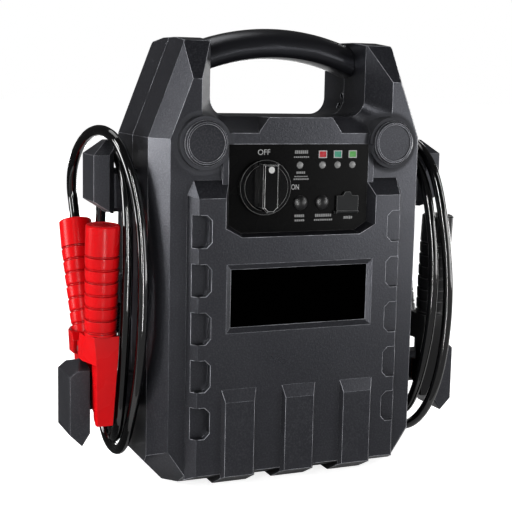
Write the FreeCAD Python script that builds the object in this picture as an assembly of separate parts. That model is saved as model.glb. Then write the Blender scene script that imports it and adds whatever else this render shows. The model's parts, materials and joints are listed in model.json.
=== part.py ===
import FreeCAD, Part
import math
import os

V = FreeCAD.Vector

# Millimetres. X to the right as seen from the front, Y to the back, Z up.
# The origin is on the ground under the middle of the pack.

# Housing: the two halves meet at Y = 0
WALL = 3.0
BODY_HALF_W = 126.0
FACE_Y = 62.8
BODY_BOTTOM = 5.0
BODY_TOP = 376.0
SIDE_KINK_Z = 294.0
TOWER_IN = 30.5
TOWER_EDGE_X = BODY_HALF_W - TOWER_IN
TOWER_EDGE_Y = 41.0
TOWER_EDGE_Z = 373.0
CROWN_HALF_Y = 15.0
FACE_KINK_Z = 342.0
SILL_Y = 54.0
SILL_Z = 12.5
SOLE_IN = 14.0
SOLE_EDGE_X = BODY_HALF_W - SOLE_IN
SOLE_EDGE_Z = 20.0
BAND_IN = 12.4
BAND_X = BODY_HALF_W - BAND_IN
BAND_Y = 42.5
BAND_FOOT_FRONT_Z = 34.3
BAND_FOOT_SIDE_Z = 26.8

# Hand opening between the towers
TOWER_W = 54.0
OPEN_HALF_W = BODY_HALF_W - TOWER_W
OPEN_BOTTOM = 311.7
OPEN_R = 15.0
FLARE_OUT = 15.3
FLARE_HALF_W = OPEN_HALF_W + FLARE_OUT
FLARE_BOTTOM = 300.0
FLARE_R = 20.0
FLARE_START_Y = 39.8

# Brow over the control panel
BROW_HALF_W = 69.5
BROW_Y = 65.3
BROW_BOTTOM = 250.0
HUMP_FOOT_X = 37.5
HUMP_TOP_X = 29.0

# Raised centre panel
RAISED_Y = 73.0
RAISED_HALF_W = 99.0
RAISED_TOP = 260.4
RAISED_SHOULDER_X = 93.5
RAISED_SHOULDER_Z = 248.6
RAISED_FLAT_HALF_W = 92.3
RAISED_FLAT_TOP = 246.3
RAISED_SILL_Z = 14.0

# Notches down both sides of the raised panel
NOTCH_COUNT = 5
NOTCH_TOP = 232.8
NOTCH_PITCH = 40.1
NOTCH_H = 26.8
NOTCH_IN_X = 80.8
NOTCH_DEPTH = 6.0
NOTCH_CORNER = 4.5

# Foot ribs, three in front and three behind
RIB_TOP = 86.5
RIB_FOLD_Z = 76.0
RIB_PROUD = 3.5
RIB_INNER_HALF_W = 15.6
RIB_OUTER_X0 = 39.3
RIB_OUTER_X1 = 70.5
RIB_SIDE = 2.5
RIB_TOE_Z = 12.0
RIB_HEEL_Y = 30.0
RIB_HEEL_RUN = 8.0

# Plain label plate in its recess
LABEL_HALF_W = 62.9
LABEL_Z0 = 138.5
LABEL_Z1 = 187.0
LABEL_DEPTH = 2.4
LABEL_T = 1.6
LABEL_BEVEL = 4.6
SEAT_GAP = 0.15

# Control panel plate in its recess
PLATE_Y = 65.0
PLATE_T = 2.5
PLATE_HALF_W = 64.0
PLATE_TOP = 289.6
PLATE_LOW_Z = 223.4
PLATE_FOOT_X = 52.5
PLATE_FOOT_Z = 216.2
RECESS_HALF_W = 68.9
RECESS_LOW_Z = 221.6
RECESS_FOOT_X = 54.2
RECESS_FOOT_Z = 213.6
WINDOW_HALF_W = 60.0
WINDOW_Z0 = 226.0
WINDOW_Z1 = 286.0

# Main switch
KNOB_X = -32.2
KNOB_Z = 254.1
KNOB_GAP = 0.4
SKIRT_R = 22.8
SKIRT_T = 2.6
TIER_R = 19.5
TIER_T = 1.5
BAR_W = 13.8
BAR_L = 40.0
BAR_H = 10.1
BAR_CHAMFER = 1.2
BAR_TAIL = 4.0
POINTER_R = 2.5
POINTER_DOWN = 4.6
POINTER_T = 0.6
SHAFT_R = 4.0
SHAFT_CLEAR = 0.05
SWITCH_W = 51.0
SWITCH_D = 34.0
STUD_R = 4.0
STUD_L = 14.0
STUD_OFF = 15.0
CABLE_LUG_Y = -21.0
CABLE_LUG_T = 3.0
CABLE_LUG_W = 11.0
BARREL_TOP = 248.0
BARREL_LOW = 236.0
BARREL_R = 5.0

# Buttons
BUTTON_X = (1.0, 21.2)
BUTTON_Z = 240.5
BUTTON_R = 6.0
BUTTON_CLEAR = 0.1
BUTTON_PROUD = 1.6
BUTTON_DOME = 2.4
BUTTON_FLANGE = 1.3
BUTTON_FLANGE_T = 1.0
BUTTON_TRAVEL = 1.5
BUTTON_STEM_R = 1.8
TACT_W = 6.0
TACT_GAP = 0.3

# Lamps and level windows
LAMP_X = (-0.2, 20.8, 35.0, 49.1)
LAMP_Z = 272.1
LAMP_R = 2.9
LAMP_PROUD = 0.6
LEVEL_X = (20.8, 34.9, 49.0)
LEVEL_Z = 281.1
LEVEL_W = 6.8
LEVEL_H = 5.4
LEVEL_T = 0.8

# Socket and its rubber cover
USB_X = 44.4
USB_Z = 239.6
USB_W = 12.6
USB_H = 5.6
USB_SHELL = 0.8
COVER_W = 20.2
COVER_H = 12.8
COVER_T = 2.2
COVER_TAB_W = 9.0
COVER_TAB_H = 3.2
COVER_GAP = 0.3
HINGE_R = 1.3
HINGE_PIN_R = 0.7
HINGE_CLEAR = 0.05
LUG_T = 1.6

# Control board behind the panel
BOARD_Y = 50.0
BOARD_T = 1.6
BOARD_X0 = -5.0
BOARD_X1 = 59.5
BOARD_Z0 = 226.6
BOARD_Z1 = 284.5
BOARD_POST_R = 2.6
BOARD_POST_IN = 3.4
BOARD_SCREW_R = 1.2
BOARD_SCREW_HEAD = 2.2
CLIP_W = 8.0
CLIP_T = 1.8
CLIP_HOOK = 1.2
CLIP_Z = (236.0, 276.0)

# Corner caps
CAP_IN = 40.2
CAP_X = BODY_HALF_W - CAP_IN
CAP_Z = 290.8
BOSS_R = 22.0
BOSS_FLAT_Z = 268.9
BOSS_Y = 69.0
CAP_R = 18.6
CAP_PROUD = 3.2
CAP_EDGE = 1.2
CAP_STEM_R = 4.0
CAP_STEM_L = 10.0

# Handle: a grip over a flat steel strap, bent down into both towers
HANDLE_R = 196.0
HANDLE_MID_Z = 373.0
GRIP_TOP = 13.0
GRIP_EDGE_Y = 17.0
GRIP_EDGE_Z = 5.5
GRIP_HALF_W = 19.5
GRIP_LOW_Y = 15.0
GRIP_LOW_Z = -11.5
GRIP_UNDER = -13.2
GRIP_SIDE_Z = -3.0
STRAP_T = 4.0
STRAP_HALF_W = 12.0
STRAP_IN = 5.0
STRAP_LEG_X = OPEN_HALF_W + STRAP_IN
STRAP_LEG_BOTTOM = 314.0
STRAP_GAP = 0.15
TOWER_SCREW_YZ = ((3.6, 329.0), (6.8, 320.5))
TOWER_SCREW_R = 1.5
TOWER_SCREW_HEAD_R = 2.6
TOWER_SCREW_SINK = 1.4

# Case screws, driven from the back, the lowest pair close beside the battery
BATT_HALF_W = 90.5
POST_R = 5.5
POST_CLEAR = 4.0
TOWER_POST_IN = 35.0
UPPER_POST_IN = 13.0
MIDDLE_POST_IN = 16.0
CASE_SCREWS = ((BODY_HALF_W - TOWER_POST_IN, 340.0), (BODY_HALF_W - UPPER_POST_IN, 262.0),
               (BODY_HALF_W - MIDDLE_POST_IN, 128.0), (BATT_HALF_W + POST_CLEAR + POST_R, 40.0))
CASE_SCREW_R = 2.0
CASE_HEAD_R = 3.8
CASE_HEAD_T = 3.0
CASE_SINK = 30.0
CASE_BITE = 25.0

# Battery and what holds it
BATT_HALF_D = 38.5
BATT_H = 167.0
BATT_SEAT = 12.0
BATT_RIB_X = (30.0, 70.0)
BATT_RIB_T = 3.0
TERMINAL_X = 70.0
TERMINAL_Y = -22.0
TERMINAL_W = 14.0
TERMINAL_H = 12.0
BRACKET_HALF_D = 12.0
BRACKET_T = 2.0
BRACKET_END_IN = 9.0
BRACKET_LUG_IN = 22.0
BRACKET_SCREW_IN = 15.0
BRACKET_END_X = BODY_HALF_W - BRACKET_END_IN
LUG_IN_X = BODY_HALF_W - BRACKET_LUG_IN
BRACKET_SCREW_X = BODY_HALF_W - BRACKET_SCREW_IN
BRACKET_SCREW_R = 2.0

# Cleats on both sides, the lead is wound round their stems
STEM_HALF_D = 12.0
STEM_EDGE = 4.0
STEM_CLEAR = 0.15
STEM_FLANGE = 5.0
STEM_FLANGE_T = 3.0
UPPER_STEM_Z0 = 230.0
UPPER_STEM_Z1 = 266.0
UPPER_HEAD_OUT = 19.5
UPPER_HEAD_T = 19.0
UPPER_HEAD_X0 = BODY_HALF_W + UPPER_HEAD_OUT
UPPER_HEAD_X1 = UPPER_HEAD_X0 + UPPER_HEAD_T
UPPER_HEAD_HALF_D = 17.5
UPPER_HEAD_Z0 = 229.2
UPPER_HEAD_Z1 = 290.0
UPPER_BEVEL_TOP = 12.0
UPPER_BEVEL_LOW = 10.5
UPPER_NECK = 5.5
UPPER_LOW_NECK = 2.0
LOWER_STEM_Z0 = 61.0
LOWER_STEM_Z1 = 90.0
CLAMP_OUT = 35.0
CLAMP_X = BODY_HALF_W + CLAMP_OUT
LOWER_HEAD_OUT = 7.0
LOWER_HEAD_T = 18.0
LOWER_HEAD_X0 = CLAMP_X + LOWER_HEAD_OUT
LOWER_HEAD_X1 = LOWER_HEAD_X0 + LOWER_HEAD_T
LOWER_HEAD_HALF_D = 20.5
LOWER_HEAD_Z0 = 33.0
LOWER_HEAD_Z1 = 104.5
LOWER_BEVEL_TOP = 11.0
LOWER_BEVEL_LOW = 11.0
LOWER_KEEL_IN = 7.0
LOWER_KEEL_X = LOWER_HEAD_X0 + LOWER_KEEL_IN
LOWER_RAKE_X = 14.0

# Battery clamps, parked on the lower stems. The black one hangs nearer the wall.
BLACK_CLAMP_IN = 5.4
PIVOT_Z = 113.5
EAR_R = 6.8
PIN_R = 2.5
PIN_CLEAR = 0.05
EAR_OUT = (7.5, 11.5)
EAR_IN = (3.0, 7.0)
SPRING_R = 5.4
SPRING_HALF_L = 2.4
SPRING_GAP = 0.3
HALF_GAP_Y = 8.0
LEVER_R = 9.5
GRIP_END_R = 14.3
FRONT_GRIP_TOP = (-33.5, 222.8)
FRONT_GRIP_LOW = (-26.5, 130.0)
REAR_GRIP_TOP = (56.5, 216.0)
REAR_GRIP_LOW = (22.0, 125.0)
FRONT_GRIP_LOW_R = 13.2
REAR_GRIP_LOW_R = 11.6
GRIP_COLLAR = 24.5
GRIP_RINGS = 7
GRIP_GROOVE = 2.2
GRIP_GROOVE_DEEP = 1.2
CORE_RUN_ON = 6.0
JAW_IN_TOP = 12.6
JAW_IN_LOW = 9.2
JAW_OUT = 14.3
JAW_OUT_NECK = 6.3
JAW_OUT_LOW = 4.6
JAW_SHOULDER_Z = 107.5
JAW_RIDGE_TOP = 8.7
JAW_RIDGE_LOW = 4.0
JAW_FACE_Y = 38.5
JAW_SIDE_Y = 26.0
JAW_TIP_Z = 52.5
JAW_TIP_Y = 32.0
JAW_CLEAR_Y = 22.0
JAW_PLATE_IN = 9.0
JAW_PLATE_OUT = 4.0
HEAD_CLEAR = 1.4
CONTACT_T = 1.3
CONTACT_GAP = 0.3
CONTACT_Z0 = 64.0
CONTACT_Z1 = 84.0
CONTACT_TEETH = 5
CONTACT_TOOTH = 0.6

# Leads: a free run each side, from its strain relief to its clamp
LEAD_R = 4.5
GLAND_OUT = 7.5
GLAND_X = BODY_HALF_W + GLAND_OUT
GLAND_Y = 34.0
GLAND_Z0 = 118.0
GLAND_Z1 = 146.0
GLAND_TOP_R = 6.8
GLAND_LOW_R = 5.4
HOOD_TOP = 172.0
HOOD_HALF_D = 9.0
HOOD_CLEAR = 2.0
HOOD_X1 = CLAMP_X - BLACK_CLAMP_IN - REAR_GRIP_LOW_R - HOOD_CLEAR
HOOD_RAKE = 12.0
HOOD_SPIGOT_R = 6.0
HOOD_SPIGOT_Z = 159.0
INLET_IN = 14.0
INLET_OUT = 4.0
INLET_X0 = BODY_HALF_W - INLET_IN
INLET_X1 = BODY_HALF_W - INLET_OUT
INLET_HALF = 7.0
INLET_X = (INLET_X0 + INLET_X1) / 2

# Distance out from the side wall, Y and Z of each point of a lead, from the strain
# relief under the lower stem, once round both stems, up again and over the
# upper head into the rear handle. The two sides were wound by hand and differ.
LEFT_LEAD = (
    (7.5, 34, 118), (7.5, 34, 85), (8.0, 34, 55), (10.5, 23, 36),
    (14.3, 4, 30.5), (17.8, -14, 38), (18.5, -25, 56), (17.0, -32, 98),
    (16.7, -40, 150), (16.0, -42, 205), (14.5, -31, 247), (14.4, -17, 268),
    (14.2, 1, 280), (14.2, 21, 278), (14.5, 36, 262), (15.0, 44, 234),
    (15.2, 47, 190), (15.5, 52, 130), (15.5, 52.5, 82), (15.5, 40, 41),
    (14.5, 22, 22.0), (12.8, -2, 19.3), (11.3, -20, 33.5), (10.0, -31, 56),
    (8.2, -47, 95), (7.0, -53, 142), (6.5, -52, 195), (8.0, -46, 235),
    (13.5, -39, 267), (20.0, -24, 291), (26.0, 0, 299), (32.0, 22, 295),
    (35.8, 42, 281.5), (37.5, 56.5, 263.5), (36.8, 63, 245), (35.0, 61.46, 229.1),
    (35.0, 56.5, 216.0),
)
RIGHT_LEAD = (
    (7.5, 34, 118), (7.5, 34, 86), (7.7, 34, 56), (9.0, 22.5, 37),
    (10.5, 3, 30), (11.0, -17, 35), (11.0, -33, 52), (12.0, -46, 84),
    (14.5, -54, 130), (14.5, -55, 185), (10.6, -49, 234), (9.6, -35.5, 261),
    (10.2, -18, 274), (10.0, 3, 279), (9.0, 22, 272), (8.0, 36, 254),
    (7.7, 44, 226), (7.5, 47, 186), (7.5, 53, 132), (7.5, 54, 86),
    (8.5, 44, 50), (10.5, 25, 26), (12.5, 1, 17), (14.5, -24, 23),
    (17.5, -45, 43), (23.0, -54.5, 71), (27.5, -57, 104), (29.3, -58, 145),
    (26.8, -57, 188), (21.8, -54, 226), (18.5, -47, 255), (15.8, -37, 273),
    (13.5, -20, 286), (13.0, 0, 291), (15.0, 21, 288), (20.0, 40, 277),
    (25.5, 54, 262), (28.8, 62.5, 245), (29.6, 61.46, 229.1), (29.6, 56.5, 216.0),
)

# Leads inside, from the battery to the switch and to both strain reliefs
INNER_LEAD_R = 4.0
POST_TOP = BATT_SEAT + BATT_H + TERMINAL_H
INLET_TOP = HOOD_SPIGOT_Z + INLET_HALF
FEED_X = KNOB_X - STUD_OFF
DRAW_X = KNOB_X + STUD_OFF
SWITCH_FEED = ((-TERMINAL_X, TERMINAL_Y, POST_TOP), (-TERMINAL_X, TERMINAL_Y, POST_TOP + 14),
               (FEED_X, CABLE_LUG_Y, BARREL_LOW - 14), (FEED_X, CABLE_LUG_Y, BARREL_LOW))
RED_INNER = ((DRAW_X, CABLE_LUG_Y, BARREL_LOW), (DRAW_X, CABLE_LUG_Y, BARREL_LOW - 12),
             (-23, -6, POST_TOP + 18), (-46, 17, POST_TOP + 11), (-74, 30, POST_TOP + 10),
             (19 - INLET_X, 34.5, POST_TOP + 10), (4 - INLET_X, GLAND_Y, POST_TOP + 6),
             (-INLET_X, GLAND_Y, INLET_TOP + 17), (-INLET_X, GLAND_Y, INLET_TOP))
BLACK_INNER = ((TERMINAL_X, TERMINAL_Y, POST_TOP), (TERMINAL_X, TERMINAL_Y, POST_TOP + 13),
               (TERMINAL_X + 7, -8, POST_TOP + 24), (TERMINAL_X + 21, 12, POST_TOP + 25),
               (INLET_X - 12, 28, POST_TOP + 18), (INLET_X - 2, GLAND_Y, POST_TOP + 7),
               (INLET_X, GLAND_Y, INLET_TOP + 16), (INLET_X, GLAND_Y, INLET_TOP))

BIG = 800.0
GROWN = 0.2


def box(x0, x1, y0, y1, z0, z1):
    return Part.makeBox(x1 - x0, y1 - y0, z1 - z0, V(x0, y0, z0))


def rod(start, end, radius):
    line = V(*end) - V(*start)
    return Part.makeCylinder(radius, line.Length, V(*start), line)


def cone(start, end, start_r, end_r):
    line = V(*end) - V(*start)
    return Part.makeCone(start_r, end_r, line.Length, V(*start), line)


def prism(points, travel):
    face = Part.Face(Part.makePolygon([V(*p) for p in points] + [V(*points[0])]))
    return face.extrude(V(*travel))


def prism_x(yz, x0, x1):
    return prism([(x0, y, z) for y, z in yz], (x1 - x0, 0, 0))


def prism_y(xz, y0, y1):
    return prism([(x, y0, z) for x, z in xz], (0, y1 - y0, 0))


def prism_z(xy, z0, z1):
    return prism([(x, y, z0) for x, y in xy], (0, 0, z1 - z0))


def mirror_x(shape):
    return shape.mirror(V(0, 0, 0), V(1, 0, 0))


def mirror_y(shape):
    return shape.mirror(V(0, 0, 0), V(0, 1, 0))


def both_x(shape):
    return shape.fuse(mirror_x(shape))


def plane_cut(shape, point, normal):
    """Takes away what lies beyond a plane, on the side its normal points to."""
    cutter = Part.makeBox(BIG, BIG, BIG, V(-BIG / 2, -BIG / 2, 0))
    cutter.Placement = FreeCAD.Placement(
        V(*point), FreeCAD.Rotation(V(0, 0, 1), V(*normal)), V(0, 0, 0))
    return shape.cut(cutter)


def corner_cuts(shape, point, normal, inset):
    """The same plane at all four corners, drawn in by the wall."""
    unit = V(*normal).normalize()
    base = V(*point) - unit * inset
    for sx in (1, -1):
        for sy in (1, -1):
            shape = plane_cut(shape, (sx * base.x, sy * base.y, base.z),
                              (sx * unit.x, sy * unit.y, unit.z))
    return shape


def body_block(inset):
    """The pack without its raised panels, each face drawn in by inset."""
    half_w = BODY_HALF_W - inset
    half_d = FACE_Y - inset
    block = box(-half_w, half_w, -half_d, half_d, BODY_BOTTOM + inset, BODY_TOP - inset)
    side_rise = TOWER_EDGE_Z - SIDE_KINK_Z
    side_run = BODY_HALF_W - TOWER_EDGE_X
    block = corner_cuts(block, (BODY_HALF_W, 0, SIDE_KINK_Z), (side_rise, 0, side_run), inset)
    block = corner_cuts(block, (0, FACE_Y, FACE_KINK_Z),
                        (0, TOWER_EDGE_Z - FACE_KINK_Z, FACE_Y - TOWER_EDGE_Y), inset)
    block = corner_cuts(block, (0, TOWER_EDGE_Y, TOWER_EDGE_Z),
                        (0, BODY_TOP - TOWER_EDGE_Z, TOWER_EDGE_Y - CROWN_HALF_Y), inset)
    block = corner_cuts(block, (0, SILL_Y, BODY_BOTTOM),
                        (0, SILL_Z - BODY_BOTTOM, SILL_Y - FACE_Y), inset)
    block = corner_cuts(block, (SOLE_EDGE_X, 0, BODY_BOTTOM),
                        (SOLE_EDGE_Z - BODY_BOTTOM, 0, SOLE_EDGE_X - BODY_HALF_W), inset)
    band_run = BODY_HALF_W - BAND_X
    band_depth = FACE_Y - BAND_Y
    block = corner_cuts(block, (BAND_X, FACE_Y, 0), (band_depth, band_run, 0), inset)
    lean = band_depth * side_run / side_rise
    block = corner_cuts(block, (BAND_X, FACE_Y, SIDE_KINK_Z), (band_depth, band_run, lean), inset)
    foot = V(band_run, -band_depth, BAND_FOOT_SIDE_Z - BAND_FOOT_FRONT_Z)
    down = V(BAND_X - RAISED_HALF_W, 0, BAND_FOOT_FRONT_Z - SILL_Z)
    tilt = foot.cross(down)
    block = corner_cuts(block, (BAND_X, FACE_Y, BAND_FOOT_FRONT_Z), tuple(-tilt), inset)
    return block


def opening_wire(y, half_w, bottom, radius):
    """Round-cornered outline of the hand opening, open far above the towers."""
    top = BODY_TOP + GRIP_TOP
    k = radius * (1 - math.sqrt(0.5))
    left_low = V(-half_w, y, bottom + radius)
    left_foot = V(-half_w + radius, y, bottom)
    right_foot = V(half_w - radius, y, bottom)
    right_low = V(half_w, y, bottom + radius)
    edges = [
        Part.makeLine(V(-half_w, y, top), left_low),
        Part.Arc(left_low, V(-half_w + k, y, bottom + k), left_foot).toShape(),
        Part.makeLine(left_foot, right_foot),
        Part.Arc(right_foot, V(half_w - k, y, bottom + k), right_low).toShape(),
        Part.makeLine(right_low, V(half_w, y, top)),
        Part.makeLine(V(half_w, y, top), V(-half_w, y, top)),
    ]
    return Part.Wire(edges)


def opening_cut(grow):
    """The hand opening with its flared mouths, its walls moved out by grow."""
    span = RAISED_Y + WALL
    outline = opening_wire(-span, OPEN_HALF_W + grow, OPEN_BOTTOM - grow, OPEN_R + grow)
    cut = Part.Face(outline).extrude(V(0, 2 * span, 0))
    reach = (span - FLARE_START_Y) / (FACE_Y - FLARE_START_Y)
    wide = OPEN_HALF_W + reach * (FLARE_HALF_W - OPEN_HALF_W)
    low = OPEN_BOTTOM + reach * (FLARE_BOTTOM - OPEN_BOTTOM)
    inner = opening_wire(-FLARE_START_Y, OPEN_HALF_W + grow, OPEN_BOTTOM - grow, OPEN_R + grow)
    outer = opening_wire(-span, wide + grow, low - grow, FLARE_R + grow)
    mouth = Part.makeLoft([inner, outer], True, True)
    return cut.fuse([mouth, mirror_y(mouth)])


def raised_panel():
    """Front raised panel, with a sloped rim on three sides and a lower bevel."""
    panel = box(-RAISED_HALF_W, RAISED_HALF_W, -RAISED_Y, -FACE_Y + WALL, BODY_BOTTOM, RAISED_TOP)
    rise = RAISED_Y - FACE_Y
    top_n = (0, -(RAISED_TOP - RAISED_FLAT_TOP), rise)
    panel = plane_cut(panel, (0, -FACE_Y, RAISED_TOP), top_n)
    panel = plane_cut(panel, (0, -SILL_Y, BODY_BOTTOM),
                      (0, BODY_BOTTOM - RAISED_SILL_Z, SILL_Y - RAISED_Y))
    for side in (1, -1):
        side_n = (side * rise, -(RAISED_HALF_W - RAISED_FLAT_HALF_W), 0)
        panel = plane_cut(panel, (side * RAISED_HALF_W, -FACE_Y, 0), side_n)
        along = V(side * (RAISED_SHOULDER_X - RAISED_HALF_W), 0, RAISED_TOP - RAISED_SHOULDER_Z)
        inward = V(side * (RAISED_FLAT_HALF_W - RAISED_HALF_W), -rise,
                   RAISED_FLAT_TOP - RAISED_SHOULDER_Z)
        corner_n = along.cross(inward) * side
        panel = plane_cut(panel, (side * RAISED_HALF_W, -FACE_Y, RAISED_SHOULDER_Z),
                          tuple(corner_n))
    return panel


def foot_rib(x0, x1):
    """One rib of a foot: proud of the raised panel, bevelled to a flat sole."""
    proud_y = RAISED_Y + RIB_PROUD
    rib = box(x0, x1, -proud_y, -RIB_HEEL_Y, 0, RIB_TOP)
    rib = plane_cut(rib, (0, -RAISED_Y, RIB_TOP), (0, -(RIB_TOP - RIB_FOLD_Z), RIB_PROUD))
    rib = plane_cut(rib, (0, -SILL_Y, 0), (0, -RIB_TOE_Z, SILL_Y - proud_y))
    rib = plane_cut(rib, (0, -RIB_HEEL_Y, BODY_BOTTOM), (0, BODY_BOTTOM, -RIB_HEEL_RUN))
    for x, side in ((x0, -1), (x1, 1)):
        rib = plane_cut(rib, (x, -RAISED_Y, 0), (side * RIB_PROUD, -RIB_SIDE, 0))
    return rib


def foot_ribs():
    middle = foot_rib(-RIB_INNER_HALF_W, RIB_INNER_HALF_W)
    outer = foot_rib(RIB_OUTER_X0, RIB_OUTER_X1)
    return middle.fuse(both_x(outer))


def notch_cuts():
    """Pockets along the rims, with two slanted inner corners each."""
    floor_y = -RAISED_Y + NOTCH_DEPTH
    cuts = []
    for i in range(NOTCH_COUNT):
        top = NOTCH_TOP - i * NOTCH_PITCH
        low = top - NOTCH_H
        outline = [(NOTCH_IN_X + NOTCH_CORNER, low), (RAISED_HALF_W, low), (RAISED_HALF_W, top),
                   (NOTCH_IN_X + NOTCH_CORNER, top), (NOTCH_IN_X, top - NOTCH_CORNER),
                   (NOTCH_IN_X, low + NOTCH_CORNER)]
        pocket = prism_y(outline, -RAISED_Y - WALL, floor_y)
        cuts += [pocket, mirror_x(pocket)]
    return cuts


def bevel_pocket(half_w, z0, z1, y_out, y_in, bevel):
    """A pocket whose four walls slope in by bevel from y_out to y_in."""
    outer = [(-half_w - bevel, z0 - bevel), (half_w + bevel, z0 - bevel),
             (half_w + bevel, z1 + bevel), (-half_w - bevel, z1 + bevel)]
    inner = [(-half_w, z0), (half_w, z0), (half_w, z1), (-half_w, z1)]
    wires = []
    for pts, y in ((outer, y_out), (inner, y_in)):
        wires.append(Part.makePolygon([V(x, y, z) for x, z in pts + pts[:1]]))
    return Part.makeLoft(wires, True, True)


def panel_outline(half_w, low_z, foot_x, foot_z, top_z):
    return [(-half_w, top_z), (-half_w, low_z), (-foot_x, foot_z),
            (foot_x, foot_z), (half_w, low_z), (half_w, top_z)]


def control_recess():
    """The control panel's recess: sloped walls, then a straight seat."""
    top = PLATE_TOP + SEAT_GAP
    plate = panel_outline(PLATE_HALF_W + SEAT_GAP, PLATE_LOW_Z - SEAT_GAP,
                          PLATE_FOOT_X + SEAT_GAP, PLATE_FOOT_Z - SEAT_GAP, top)
    mouth = panel_outline(RECESS_HALF_W, RECESS_LOW_Z, RECESS_FOOT_X, RECESS_FOOT_Z, top)
    wires = []
    for pts, y in ((mouth, -RAISED_Y), (plate, -PLATE_Y)):
        wires.append(Part.makePolygon([V(x, y, z) for x, z in pts + pts[:1]]))
    slope = Part.makeLoft(wires, True, True)
    seat = prism_y(plate, -PLATE_Y, -PLATE_Y + PLATE_T)
    window = box(-WINDOW_HALF_W, WINDOW_HALF_W, -PLATE_Y, -BOARD_Y, WINDOW_Z0, WINDOW_Z1)
    return slope.fuse([seat, window])


def inner_space():
    """What the housing encloses, before its panels' own hollows."""
    return body_block(WALL).cut(opening_cut(WALL))


def stem_slots(side):
    """Windows in one side wall for the stems of the cleats."""
    slots = []
    for z0, z1 in ((UPPER_STEM_Z0, UPPER_STEM_Z1), (LOWER_STEM_Z0, LOWER_STEM_Z1)):
        reach = STEM_HALF_D + STEM_CLEAR
        slot = box(BODY_HALF_W - 2 * WALL, BODY_HALF_W + WALL, -reach, reach,
                   z0 - STEM_CLEAR, z1 + STEM_CLEAR)
        slots.append(slot if side > 0 else mirror_x(slot))
    return slots


def strap_slots():
    """Slots in the towers' inner walls for the handle strap."""
    drop = HANDLE_R - math.sqrt(HANDLE_R ** 2 - OPEN_HALF_W ** 2)
    centre_z = HANDLE_MID_Z - drop
    tall = STRAP_T + WALL
    slot = box(OPEN_HALF_W - WALL, STRAP_LEG_X, -STRAP_HALF_W - STRAP_GAP, STRAP_HALF_W + STRAP_GAP,
               centre_z - tall, centre_z + STRAP_T)
    return [slot, mirror_x(slot)]


def half_posts(direction):
    """Screw posts of one half, from its wall to the parting plane."""
    posts = []
    for x, z in CASE_SCREWS:
        post = rod((x, 0, z), (x, direction * FACE_Y, z), POST_R)
        posts += [post, mirror_x(post)]
    within = body_block(WALL / 2).cut(opening_cut(WALL / 2))
    return [post.common(within) for post in posts]


def battery_ribs(direction):
    """Floor ribs under the battery and wall ribs that keep it from sliding."""
    ribs = []
    for x in BATT_RIB_X:
        floor = box(x, x + BATT_RIB_T, 0, BATT_HALF_D, BODY_BOTTOM + WALL / 2, BATT_SEAT)
        wall = box(x, x + BATT_RIB_T, BATT_HALF_D + SPRING_GAP, RAISED_Y - WALL / 2,
                   RAISED_SILL_Z + WALL, BATT_SEAT + BATT_H / 2)
        for rib in (floor, wall):
            ribs += [rib, mirror_x(rib)]
    if direction < 0:
        ribs = [mirror_y(rib) for rib in ribs]
    return ribs


def bracket_lugs(direction):
    """Ledges on the side walls that carry the ends of the battery bracket."""
    top = BATT_SEAT + BATT_H
    near, far = sorted((0, direction * (BRACKET_HALF_D + WALL)))
    lug = box(LUG_IN_X, BODY_HALF_W - WALL / 2, near, far, top - BRACKET_HALF_D, top)
    hole = rod((BRACKET_SCREW_X, 0, top - BRACKET_HALF_D / 2), (BRACKET_SCREW_X, 0, top + WALL),
               BRACKET_SCREW_R)
    lug = lug.cut(hole)
    return [lug, mirror_x(lug)]


def trim_half(solid, direction):
    """Keeps one side of the parting plane."""
    return plane_cut(solid, (0, 0, 0), (0, -direction, 0))


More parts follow.
